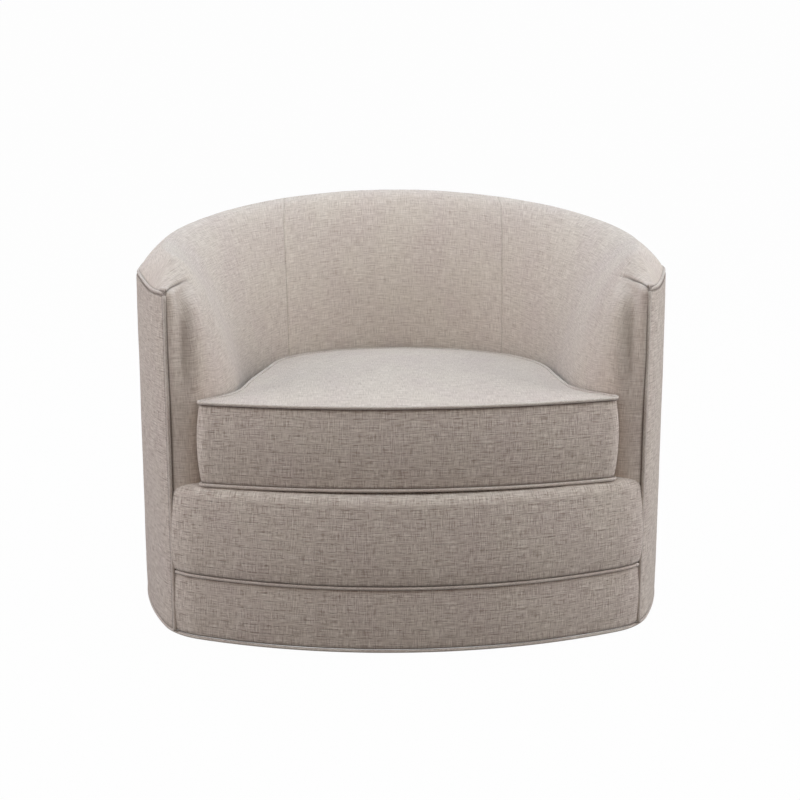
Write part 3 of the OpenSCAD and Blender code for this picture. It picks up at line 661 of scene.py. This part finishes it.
def apronPlace(u, v):
    foot = chair["bandHeight"] + weltRadius * frontCover["underWelt"]
    roll = frontCover["roll"]
    toSide = min(u, 1 - u) * pathLength(frontPath)
    faceShare, rollShare = frontCover["faceShare"], frontCover["rollShare"]
    top = shelfZ(pathAt(frontPath, u).y)
    if v < faceShare:
        t = v / faceShare
        z = foot + (top - roll - foot) * t
        depth = 0.0
        dent = frontCover["bulge"] * sin(pi * t ** 0.7) ** 0.8
        dent += edgeDip(z - foot, frontCover["footRoll"], frontCover["footDepth"])
        # Painted shade just above the band welt
        paintedShade = seamShade(z - foot)
    elif v < rollShare:
        turn = (v - faceShare) / (rollShare - faceShare) * pi / 2
        depth = roll * (1 - cos(turn))
        z = top - roll + roll * sin(turn)
        dent, paintedShade = 0.0, 0.0
    else:
        t = (v - rollShare) / (1 - rollShare)
        depth = roll + (chair["shelf"] - roll) * t
        z, dent, paintedShade = top, 0.0, 0.0
    dent += edgeDip(toSide, frontCover["endRoll"], frontCover["endDepth"])
    spot = pathAt(frontPath, u, -depth)
    # Painted shade at both ends joins the shade above the welt
    return (spot.x, spot.y, z), dent, max(paintedShade, seamShade(toSide))


bm = layGrid(frontCover["columns"], 90, apronPlace, uneven=0.0006)
thicken(keepPiece(bm, "apronCover", linen, ["front_apron"]), frontCover["thickness"])


def bandPlace(u, v):
    low, high = coverLow, chair["bandHeight"] - weltRadius * frontCover["underWelt"]
    spot = pathAt(frontPath, u)
    z = low + (high - low) * v
    toSide = min(u, 1 - u) * pathLength(frontPath)
    dent = frontCover["bandBulge"] * sin(pi * v)
    for gap in (z - low, high - z, toSide):
        dent += edgeDip(gap, frontCover["bandRoll"], frontCover["bandDepth"])
    # Painted shade along both welts and at both ends
    return (spot.x, spot.y, z), dent, max(seamShade(toSide), seamShade(z - low), seamShade(high - z))


bm = layGrid(frontCover["columns"], 40, bandPlace, uneven=0.0005)
thicken(keepPiece(bm, "lowerBandCover", linen, ["lower_band"]), frontCover["thickness"])
print("front covers made")

# Pads of the tub. A station is the outer edge, crest, inside surface, frame side and share of the roll
tubPad = {
    "noseLead": 0.095, "nosePull": 0.047, "noseOut": 0.0206, "seamHigh": 60.0,
    "seamLow": 43.0, "edgeIn": 0.002, "edgeInBehind": 0.004, "crestLeast": 0.003,
    "crownIn": (0.11, 0.9), "crownUp": 0.37, "slopeIn": (0.4, 0.72), "leanIn": (0.82, 1.0),
    "leanDown": (0.5, 0.2), "upright": 0.8, "footSink": 0.02, "lip": 0.008,
    "armLength": 0.55, "backLength": 0.42, "seamRoll": 0.004, "seamDepth": 0.0002,
    # Painted shade: the seam shade and the two line entries set the shade along the inside seams, beside
    # the top welt and beside the arm welts
    "seamShade": 0.02, "seamWidth": 0.0022, "rimShadeLine": (0.0038, 0.0018, 0.75),
    "weltShadeLine": (0.0043, 0.0016, 0.85), "columns": 270, "rows": 200,
}
# The pleat's line is the width and darkness of the painted shade along its fold
pleat = {
    "up": 0.036, "reach": 0.026, "length": 0.022, "depth": 0.0022, "width": 0.0022,
    "puff": 0.0012, "start": 0.018, "in": 0.006, "slope": 0.25, "steep": 0.75,
    "line": (0.0016, 0.9), "puffDown": 0.008, "puffWidth": 0.007, "puffIn": 0.01,
}
hollow = {
    "from": (0.33, 0.15), "to": (0.545, 0.03), "behind": (0.06, 0.03), "at": 0.0255,
    "width": 0.0105, "depth": 0.0072, "ridge": 0.0042,
    "ridges": ((-0.019, 0.009), (0.022, 0.013)), "shade": 0.1, "shadeWidth": 0.011,
}

# Where the rows of a pad pass from one part of its section to the next, as shares of the way round
padRows = {"start": 0.0, "lip": 0.03, "edge": 0.05, "crest": 0.32, "upright": 0.84, "foot": 0.94,
           "frame": 0.97, "end": 1.0}
# The same along an arm pad: where its nose and its straight side end
armShares = {"nose": 0.5, "side": 0.68}
cushionHeight = 0.129
noseCurve = [
    Vector((cavityRadius + chair["flare"], midY - chair["run"])),
    Vector((cavityRadius + 2 * chair["flare"], midY - chair["run"] - tubPad["noseLead"])),
    Vector((weltSpot.x - tubPad["nosePull"], weltSpot.y - tubPad["noseOut"])),
    weltSpot,
]


def outlineAt(y, inset=0.0):
    ahead = y < sideCentre.y + (chair["sideRadius"] - inset) * sin(sideEnd)
    middle, radius = (corner, chair["cornerRadius"]) if ahead else (sideCentre, chair["sideRadius"])
    spot = Vector((middle.x + sqrt((radius - inset) ** 2 - (y - middle.y) ** 2), y))
    return spot, (middle - spot).normalized()


def noseStation(t):
    share = 0.01 + 0.99 * t ** 1.45
    y = weltSpot.y + share * (midY - chair["run"] - weltSpot.y)
    edge, inward = outlineAt(y)
    roll = smooth(share / 0.7)
    crest = edge + (tubPad["crestLeast"] + (chair["crestIn"] - tubPad["crestLeast"]) * roll) * inward
    surface = bezier(noseCurve, 0.99 * (1 - t))
    frameShare = 0.1 + 2.1 * t
    if frameShare < 1:
        side = weltSpot - (chair["skin"] + frameShare * (chair["wall"] - chair["skin"])) * cornerWay
    else:
        side = outlineAt(y, chair["wall"])[0]
    return edge, crest, surface, side, max(0.15, roll)


def sideStation(t):
    y = midY - chair["run"] * (1 - t)
    edge, inward = outlineAt(y)
    side = outlineAt(y, chair["wall"])[0]
    surface = Vector((cavityRadius + chair["flare"] * (1 - t), y))
    return edge, edge + chair["crestIn"] * inward, surface, side, 1.0


def roundStation(turn):
    out = (halfWidth, halfWidth - chair["crestIn"], cavityRadius, halfWidth - chair["wall"])
    return (*(tubMid + radius * wayAt(turn) for radius in out), 1.0)


def rowPart(v, first, last):
    return (v - padRows[first]) / (padRows[last] - padRows[first])


# The two seams inside the tub lean forward on their way down to the seat
def seamAt(v):
    low = max(0.0, min(1.0, rowPart(v, "crest", "upright"), rowPart(v, "end", "foot")))
    return radians(tubPad["seamHigh"] + (tubPad["seamLow"] - tubPad["seamHigh"]) * low)


def armStation(share, v):
    nose, side = armShares["nose"], armShares["side"]
    if share < nose:
        return noseStation(share / nose)
    if share < side:
        return sideStation((share - nose) / (side - nose))
    return roundStation(seamAt(v) * (share - side) / (1 - side))


def padSection(station, v):
    edge, crest, surface, side, roll = station
    edgeZ = rimZ(edge.y)
    crestZ = edgeZ + (chair["crown"] - 0.6 * rimLift(edge.y)) * roll
    edgeIn = tubPad["edgeIn"] + (tubPad["edgeInBehind"] - tubPad["edgeIn"]) * smooth(roll * 1.2)
    start = edge + edgeIn * (crest - edge).normalized()
    uprightZ = seatZ(surface.y) + tubPad["upright"] * cushionHeight

    def at(spot, z):
        return Vector((spot.x, spot.y, z))

    crown = [at(start, edgeZ), at(start.lerp(crest, tubPad["crownIn"][0]),
                                  edgeZ + tubPad["crownUp"] * (crestZ - edgeZ)),
             at(start.lerp(crest, tubPad["crownIn"][1]), crestZ), at(crest, crestZ)]
    full = smooth((1 - roll) / 0.85)
    slopeIn, leanIn, leanDown = (
        back + (front - back) * full
        for back, front in (tubPad["slopeIn"], tubPad["leanIn"], tubPad["leanDown"]))
    inside = [at(crest, crestZ), at(crest.lerp(surface, slopeIn), crestZ),
              at(crest.lerp(surface, leanIn), crestZ - leanDown * (crestZ - uprightZ)),
              at(surface, uprightZ)]
    foot = at(surface, shelfZ(surface.y) - tubPad["footSink"] * (1 - roll) ** 2)
    lipZ = edgeZ - tubPad["lip"]
    rimLow = lipZ - (chair["rimDrop"] - tubPad["lip"]) * smooth((0.9 - roll) / 0.2)
    footSide, rimSide = at(side, foot.z), at(side, rimLow)
    if v < padRows["lip"]:
        return rimSide.lerp(at(start, lipZ), rowPart(v, "start", "lip"))
    if v < padRows["edge"]:
        return at(start, lipZ).lerp(at(start, edgeZ), rowPart(v, "lip", "edge"))
    if v < padRows["crest"]:
        return bezier(crown, rowPart(v, "edge", "crest"))
    if v < padRows["upright"]:
        return bezier(inside, rowPart(v, "crest", "upright"))
    if v < padRows["foot"]:
        return at(surface, uprightZ).lerp(foot, rowPart(v, "upright", "foot"))
    if v < padRows["frame"]:
        return foot.lerp(footSide, rowPart(v, "foot", "frame"))
    return footSide.lerp(rimSide, rowPart(v, "frame", "end"))


def onShow(v):
    return padRows["edge"] <= v <= padRows["foot"]


# Painted shade in a thin line beside the top welt
def rimShade(spot, edge):
    at, width, depth = tubPad["rimShadeLine"]
    return depth * bump((spot - Vector((edge.x, edge.y, rimZ(edge.y)))).length - at, width)


def pleatAt(spot, away, behind):
    line = pleat["up"] * (1 - exp(-max(0.0, away) / pleat["reach"]))
    above = pleat["steep"] * (spot.z - chair["armHeight"] + pleat["slope"] * behind - line)
    fade = 1 - smooth((away - pleat["start"]) / pleat["length"])
    fold = smooth(away / pleat["in"]) * bump(above, pleat["width"])
    puff = bump(above + pleat["puffDown"], pleat["puffWidth"]) * smooth(away / pleat["puffIn"])
    width, depth = pleat["line"]
    dent = fade * (pleat["puff"] * puff - pleat["depth"] * fold)
    # The second value is painted shade along the fold of the pleat
    return dent, depth * fade * bump(above, width)


def hollowAt(spot, away, behind):
    (low, rise), (high, fall), (back, fade) = hollow["from"], hollow["to"], hollow["behind"]
    strong = smooth((spot.z - low) / rise) * (1 - smooth((spot.z - high) / fall))
    strong *= 1 - smooth((behind - back) / fade)
    fromHollow = away - hollow["at"]
    ridges = sum(bump(fromHollow - at, width) for at, width in hollow["ridges"])
    dent = hollow["ridge"] * ridges - hollow["depth"] * bump(fromHollow, hollow["width"])
    # The second value is painted shade down the hollow
    return strong * dent, hollow["shade"] * strong * bump(fromHollow, hollow["shadeWidth"])


# A pleat runs from the top of each arm welt over the roll, and a hollow runs down from its end
def armPlace(side, u, v):
    share = u if side > 0 else 1 - u
    station = armStation(share, v)
    spot = padSection(station, v)
    dent, paintedShade = 0.0, 0.0
    if onShow(v):
        toSeam = (1 - share) * tubPad["armLength"]
        dent += edgeDip(toSeam, tubPad["seamRoll"], tubPad["seamDepth"])
        # Painted shade along the inside seam
        paintedShade = tubPad["seamShade"] * seamShade(toSeam, tubPad["seamWidth"])
        if share < armShares["nose"]:
            away, behind = weltSpot.x - spot.x, spot.y - weltSpot.y
            for more, line in (pleatAt(spot, away, behind), hollowAt(spot, away, behind)):
                dent += more
                paintedShade = max(paintedShade, line)
            # Painted shade in a line beside the arm welt
            at, width, depth = tubPad["weltShadeLine"]
            if v > padRows["crest"]:
                paintedShade = max(paintedShade, depth * bump((station[2] - weltSpot).length - at, width))
        paintedShade = max(paintedShade, rimShade(spot, station[0]))
    return (side * spot.x, spot.y, spot.z), dent, min(1.0, paintedShade)


def finishPad(bm, name, node):
    closeEnds(bm)
    keepPiece(bm, name, softLinen, [node])


for name, side in (("right", 1), ("left", -1)):
    bm = layGrid(tubPad["columns"], tubPad["rows"], lambda u, v: armPlace(side, u, v),
                 joinV=True, reference=0.6, uneven=0.0007)
    finishPad(bm, name + "ArmPad", name + "_arm_pad")


def backPlace(u, v):
    seam = seamAt(v)
    spot = padSection(roundStation(seam + (pi - 2 * seam) * u), v)
    dent, paintedShade = 0.0, 0.0
    if onShow(v):
        toSeam = min(u, 1 - u) * tubPad["backLength"]
        dent = edgeDip(toSeam, tubPad["seamRoll"], tubPad["seamDepth"])
        # Painted shade along the inside seams and beside the top welt
        paintedShade = tubPad["seamShade"] * seamShade(toSeam, tubPad["seamWidth"])
        edge = tubMid + halfWidth * (spot.xy - tubMid).normalized()
        paintedShade = max(paintedShade, rimShade(spot, edge))
    return spot, dent, min(1.0, paintedShade)


bm = layGrid(120, 130, backPlace, joinV=True, reference=0.6, uneven=0.0007)
finishPad(bm, "backPad", "back_pad")
print("tub pads made")

# The loose T cushion
cushion = {
    "gap": 0.005, "forward": 0.004, "earShort": 0.0465, "setback": 0.018,
    "frontRadius": 0.88, "height": cushionHeight, "crown": 0.018, "earFlat": 0.95,
    "shoulder": 0.0015, "crownPower": 2.5, "earRadius": 0.011, "earRoom": 0.001,
    "leftSlack": 0.027, "rightSlack": 0.005, "slackAt": 0.005, "slackReach": 0.105,
    "crownAhead": 0.02, "earFrom": (0.16, 0.1), "earBehind": (0.13, 0.08),
    "earFront": (0.06, 0.05), "shoulderSteep": 30, "seamUnder": 0.9, "seamShare": 0.002,
    "frames": 20, "rest": 0.0005, "sewnIn": 0.0016, "boxingBulge": 0.003,
    "earBulge": 0.004, "steps": 64, "boxingRows": 20, "boxingShadeLine": 0.0036, "pressure": 3.0,
    "topCap": 0.004, "boxingCap": 0.0035,
}
cushionRadius = cavityRadius - cushion["gap"]
cushionMid = Vector((0, midY - cushion["forward"]))
earHalf = weltSpot.x - cushion["earShort"]
seamLow, seamHigh = weltRadius * cushion["seamUnder"], weltRadius + cushion["height"]


def cushionOutline():
    frontC = Vector((0, frontY + cushion["setback"] + cushion["frontRadius"]))
    earR = cushion["earRadius"]
    earY = frontC.y - sqrt(cushion["frontRadius"] ** 2 - (earHalf - earR) ** 2)
    earC = Vector((earHalf - earR, earY + earR))
    half = [earC + earR * wayAt(a)
            for a in np.radians(np.linspace(-70, 50, 25))]
    for t in np.linspace(0.6, 0.14, 40).tolist():
        spot = bezier(noseCurve, t)
        way = (bezier(noseCurve, t + 0.01) - bezier(noseCurve, t - 0.01)).normalized()
        half.append(spot + (cushion["gap"] + cushion["earRoom"]) * Vector((way.y, -way.x)))
    half.append(Vector((cushionRadius, midY - 0.6 * chair["run"])))
    back = [cushionMid + cushionRadius * wayAt(a)
            for a in np.linspace(0, pi, 90)]
    turn = asin((earHalf - 2 * earR) / cushion["frontRadius"])
    front = [frontC + cushion["frontRadius"] * wayAt(a)
             for a in np.linspace(-pi / 2 - turn, -pi / 2 + turn, 60)]
    ring = np.array([[p.x, p.y] for p in front + half + back + [flip(p) for p in reversed(half)]])
    slack = np.where(ring[:, 0] > 0, -cushion["rightSlack"], cushion["leftSlack"])
    ring[:, 0] += slack * np.exp(-(((ring[:, 1] - cushion["slackAt"]) / cushion["slackReach"]) ** 2))
    return ring


def resample(ring, count, turns=0):
    closed = np.vstack([ring, ring[:1]])
    steps = np.concatenate([[0], np.cumsum(np.linalg.norm(np.diff(closed, axis=0), axis=1))])
    wanted = np.linspace(0, steps[-1], count, endpoint=False)
    spots = np.stack([np.interp(wanted, steps, closed[:, k]) for k in (0, 1)], axis=1)
    for k in range(turns):
        spots = 0.5 * spots + 0.25 * (np.roll(spots, 1, axis=0) + np.roll(spots, -1, axis=0))
    return spots


fineRing = resample(cushionOutline(), 1600, 12)


def ringAt(ring, share, inset=0.0):
    count = len(ring)
    spot = share % 1.0 * count
    low = int(spot) % count
    part = spot - int(spot)
    here = ring[low] * (1 - part) + ring[(low + 1) % count] * part
    way = ring[(low + 4) % count] - ring[(low - 4) % count]
    way /= np.linalg.norm(way)
    return here + inset * np.array([-way[1], way[0]])


def onSeat(x, y, z):
    return Vector((x, y, z + seatZ(y) + cushion["rest"]))


# Where on the outline the four corners of a square panel come to lie: the two ears and two behind
def cornerShares(ring):
    low = ring[:, 1] < midY - chair["run"]
    rightEar = int(np.argmax(np.where(low, ring[:, 0], -9))) / len(ring)
    leftEar = int(np.argmin(np.where(low, ring[:, 0], 9))) / len(ring)
    span = (leftEar - rightEar) % 1.0
    return [leftEar - 1.0, rightEar, rightEar + span / 3, rightEar + 2 * span / 3, leftEar]


def edgeShare(corners, side, part):
    return corners[side] + (corners[side + 1] - corners[side]) * part


def squarePanel(bm, weave, ring, corners, steps, mid, height, inset, flipped=False):
    made = bmesh.ops.create_grid(bm, x_segments=steps, y_segments=steps, size=1.0)["verts"]
    calm = bm.verts.layers.float["calm"]
    for vert in made:
        vert[calm] = 1.0
        a, b = vert.co.x, vert.co.y
        share = max(abs(a), abs(b))
        if share < 1e-6:
            spot = np.array([mid.x, mid.y])
        else:
            if b <= -abs(a) + 1e-9:
                side, part = 0, (a / share + 1) / 2
            elif a >= abs(b) - 1e-9:
                side, part = 1, (b / share + 1) / 2
            elif b >= abs(a) - 1e-9:
                side, part = 2, (1 - a / share) / 2
            else:
                side, part = 3, (1 - b / share) / 2
            edge = ringAt(ring, edgeShare(corners, side, part), inset)
            spot = np.array([mid.x, mid.y]) * (1 - share) + edge * share
        vert.co = onSeat(*spot, height(share, spot))
    faces = {f for v in made for f in v.link_faces}
    for face in faces:
        for loop in face.loops:
            loop[weave].uv = (loop.vert.co.x, loop.vert.co.y)
    if flipped:
        bmesh.ops.reverse_faces(bm, faces=list(faces))
    return made


def cushionMesh():
    ring = fineRing
    corners = cornerShares(ring)
    steps = cushion["steps"]
    mid = Vector((0, midY - cushion["crownAhead"]))
    bm = bmesh.new()
    weave = bm.loops.layers.uv.new("weave")
    paintedShade = bm.verts.layers.float.new("paintedShade")
    calm = bm.verts.layers.float.new("calm")

    steep = cushion["shoulderSteep"]

    # The crown dies away over the two ears
    def crownHeight(share, spot):
        (out, over), (behind, fade) = cushion["earFrom"], cushion["earBehind"]
        onEar = smooth((abs(spot[0]) - out) / over) * smooth((weltSpot.y + behind - spot[1]) / fade)
        rise = cushion["crown"] * (1 - share ** cushion["crownPower"]) * (1 - cushion["earFlat"] * onEar)
        return seamHigh + rise + cushion["shoulder"] * (1 - exp(-steep * (1 - share)))

    inset = cushion["sewnIn"]
    squarePanel(bm, weave, ring, corners, steps, mid, crownHeight, inset)
    squarePanel(bm, weave, ring, corners, steps, mid, lambda share, spot: seamLow, inset, True)
    around = []
    for side in range(4):
        around += [edgeShare(corners, side, k / steps) for k in range(steps)]
    columns, rows = 4 * steps, cushion["boxingRows"]
    made = bmesh.ops.create_grid(bm, x_segments=columns, y_segments=rows, size=0.5)["verts"]
    lengths, total = [0.0], 0.0
    spots = [ringAt(ring, share, inset) for share in around]
    for k in range(columns):
        total += float(np.linalg.norm(spots[(k + 1) % columns] - spots[k]))
        lengths.append(total)
    grid = {v: (round((v.co.x + 0.5) * columns), closer(v.co.y + 0.5)) for v in made}
    for face in {f for v in made for f in v.link_faces}:
        for loop in face.loops:
            i, part = grid[loop.vert]
            loop[weave].uv = (lengths[i], part * cushion["height"])
    for vert, (i, part) in grid.items():
        before, fade = cushion["earFront"]
        ahead = smooth((weltSpot.y + before - ringAt(ring, around[i % columns])[1]) / fade)
        bulge = cushion["boxingBulge"] + cushion["earBulge"] * ahead
        out = bulge * sin(pi * part) ** 0.8 if 0 < part < 1 else 0.0
        spot = ringAt(ring, around[i % columns], inset - out)
        vert.co = onSeat(*spot, seamLow + (seamHigh - seamLow) * part)
        vert[calm] = 0.0
        # Painted shade on the boxing just below the top welt and just above the bottom welt
        toWelt = min(part, 1 - part) * cushion["height"]
        vert[paintedShade] = 0.85 * bump(toWelt - cushion["boxingShadeLine"], 0.0015)
    bmesh.ops.remove_doubles(bm, verts=bm.verts, dist=2e-5)
    bmesh.ops.recalc_face_normals(bm, faces=bm.faces)
    return bm


def swell(piece, held, settings):
    before = np.array([v.co for v in piece.data.vertices])
    group = piece.vertex_groups.new(name="sewn")
    group.add(held, 1.0, "REPLACE")
    cloth = piece.modifiers.new("swell", "CLOTH")
    fabric = cloth.settings
    fabric.quality = 5
    fabric.mass = 0.3
    fabric.tension_stiffness = 25
    fabric.compression_stiffness = 25
    fabric.shear_stiffness = 10
    fabric.bending_stiffness = 2
    fabric.use_pressure = True
    fabric.uniform_pressure_force = settings["pressure"]
    fabric.vertex_group_mass = "sewn"
    fabric.effector_weights.gravity = 0.0
    cloth.point_cache.frame_start = 1
    cloth.point_cache.frame_end = settings["frames"]
    for step in range(settings["frames"]):
        scene.frame_set(step + 1)
    shaped = piece.evaluated_get(bpy.context.evaluated_depsgraph_get())
    after = np.array([v.co for v in shaped.data.vertices])
    piece.modifiers.remove(cloth)
    piece.vertex_groups.clear()
    scene.frame_set(1)
    return before, after


bm = cushionMesh()
cushionCover = keepPiece(
    bm, "seatCushion", linen,
    ["cushion_top_panel", "cushion_boxing", "cushion_bottom_panel", "cushion_core"], "seat_cushion")


def cushionShares(spot):
    z = spot[2] - seatZ(spot[1]) - cushion["rest"]
    return (z - seamLow) / (seamHigh - seamLow)


near = cushion["seamShare"]
seams = [v.index for v in cushionCover.data.vertices
         if cushionShares(v.co) < near or abs(cushionShares(v.co) - 1) < near]
before, after = swell(cushionCover, seams, cushion)
moved = after - before
size = np.linalg.norm(moved, axis=1)
onTop = np.array([cushionShares(p) > 1 + near for p in before])
cap = np.where(onTop, cushion["topCap"], cushion["boxingCap"])
held = cap * np.tanh(size / cap) / np.maximum(size, 1e-9)
for vert, start, step, part in zip(cushionCover.data.vertices, before, moved, held):
    vert.co = start + step * part
print("cushion swelled by up to", round(float(size.max()) * 1000, 1), "mm")
finer = cushionCover.modifiers.new("finer", "SUBSURF")
finer.levels = 1
finer.render_levels = 1


def cushionWeltAt(height):
    def along(share):
        return onSeat(*ringAt(fineRing, share), height)
    return along


for name, node, height in (("cushionTopWelt", "cushion_top_welt", seamHigh),
                           ("cushionBottomWelt", "cushion_bottom_welt", weltRadius)):
    weltCord(name, cushionWeltAt(height), weltCloth["cushionLength"], cordRadius, node, "seat_cushion",
             closed=True)
print("cushion made")

# The deck under the cushion, seen when the cushion is lifted
deck = {
    "thickness": 0.014,
    "inset": 0.0505,
    "below": 0.0002,
    "steps": 48,
    "ringSteps": 900,
    "corners": [-0.32, -0.04, 0.22, 0.45, 0.68],
}


def deckMesh():
    count = deck["ringSteps"]
    ring = np.array([list(pathAt(wholePath, k / count, -deck["inset"])) for k in range(count)])
    bm = bmesh.new()
    weave = bm.loops.layers.uv.new("weave")
    bm.verts.layers.float.new("paintedShade")
    bm.verts.layers.float.new("calm")
    height = -cushion["rest"] - deck["below"]
    squarePanel(bm, weave, ring, deck["corners"], deck["steps"], tubMid,
                lambda share, spot: height, 0.0)
    return bm


deckPad = keepPiece(deckMesh(), "seatDeckPad", deckCloth, ["seat_deck"])
thicken(deckPad, deck["thickness"])

# The dust cover under the frame
dustCover = {"thickness": 0.0005, "height": 0.0156, "hole": 0.274, "inset": 0.007}


def dustEdge(share):
    return pathAt(wholePath, share, -dustCover["inset"])


def dustPlace(u, v):
    outer = dustEdge(u % 1.0)
    turn = atan2(outer.y, outer.x)
    inner = dustCover["hole"] * wayAt(turn)
    spot = outer.lerp(inner, v)
    return (spot.x, spot.y, dustCover["height"]), 0.0, 0.0


bm = layGrid(240, 10, dustPlace, joinU=True)
bmesh.ops.reverse_faces(bm, faces=bm.faces)
dust = keepPiece(bm, "dustSheet", dustCloth, ["dust_cover"])
thicken(dust, dustCover["thickness"])
edgeSteps = 400
planArea = 0.5 * sum(
    a.x * b.y - b.x * a.y
    for a, b in ((dustEdge(k / edgeSteps), dustEdge((k + 1) / edgeSteps)) for k in range(edgeSteps)))
print("deck and dust cover made")

# Stage
studio = {
    "floorGlow": 0.985,
    "lensLength": 81.0,
    "sensorWidth": 36.0,
    "cameraSpot": (-0.1406, -2.9626, 1.066),
    "cameraTilt": 75.71,
    "cameraTurn": -2.74,
    "aimHeight": 0.35,
    "lights": {
        "topLight": ((0.0, -0.6, 2.7), (2.6, 1.8), 45.5, (0.82, 0.95, 1.0)),
        "leftLight": ((-2.6, -0.4, 1.3), (2.0, 2.2), 52.0, (0.99, 0.97, 1.0)),
        "rightLight": ((2.6, -0.4, 1.3), (2.0, 2.2), 63.0, (0.96, 0.975, 1.0)),
        "frontLight": ((0.0, -3.4, 1.7), (2.6, 1.8), 24.0, (1.0, 0.82, 0.69)),
        "backLight": ((0.0, 1.6, 2.4), (2.6, 1.4), 37.0, (0.78, 0.86, 1.0)),
    },
}


def stageFloor():
    bm = bmesh.new()
    bmesh.ops.create_grid(bm, x_segments=2, y_segments=2, size=40.0)
    material, tree, shader = startMaterial("floorWhite")
    shader.inputs["Base Color"].default_value = shade(150, 150, 150)
    shader.inputs["Roughness"].default_value = 0.9
    glow = tree.nodes.new("ShaderNodeEmission")
    glow.inputs["Color"].default_value = (1, 1, 1, 1)
    path = tree.nodes.new("ShaderNodeLightPath")
    mix = tree.nodes.new("ShaderNodeMixShader")
    link(tree, times(tree, path.outputs["Is Camera Ray"], studio["floorGlow"]), mix.inputs[0])
    link(tree, shader.outputs[0], mix.inputs[1])
    link(tree, glow.outputs[0], mix.inputs[2])
    link(tree, mix.outputs[0], tree.nodes["Material Output"].inputs["Surface"])
    placeMesh(bm, "floor", material)


def stageLight(name, spot, size, power, colour):
    data = bpy.data.lights.new(name, "AREA")
    data.shape = "RECTANGLE"
    data.size, data.size_y = size
    aim = Vector((0, 0, studio["aimHeight"]))
    data.energy = power
    data.color = colour
    light = placeObject(name, data)
    light.location = spot
    light.rotation_mode = "QUATERNION"
    light.rotation_quaternion = (aim - Vector(spot)).to_track_quat("-Z", "Y")


def stageWorld():
    world = bpy.data.worlds.new("studio")
    scene.world = world
    world.use_nodes = True
    tree = world.node_tree
    background = tree.nodes["Background"]
    path = tree.nodes.new("ShaderNodeLightPath")
    background.inputs["Color"].default_value = (1, 1, 1, 1)
    link(tree, path.outputs["Is Camera Ray"], background.inputs["Strength"])


def stageCamera():
    data = bpy.data.cameras.new("camera")
    data.lens = studio["lensLength"]
    data.sensor_width = studio["sensorWidth"]
    camera = placeObject("camera", data)
    camera.location = studio["cameraSpot"]
    camera.rotation_euler = (radians(studio["cameraTilt"]), 0.0, radians(studio["cameraTurn"]))
    scene.camera = camera


stageFloor()
for name, (spot, size, power, colour) in studio["lights"].items():
    stageLight(name, spot, size, power, colour)
stageWorld()
stageCamera()
scene.view_settings.view_transform = "Standard"
print("stage set")
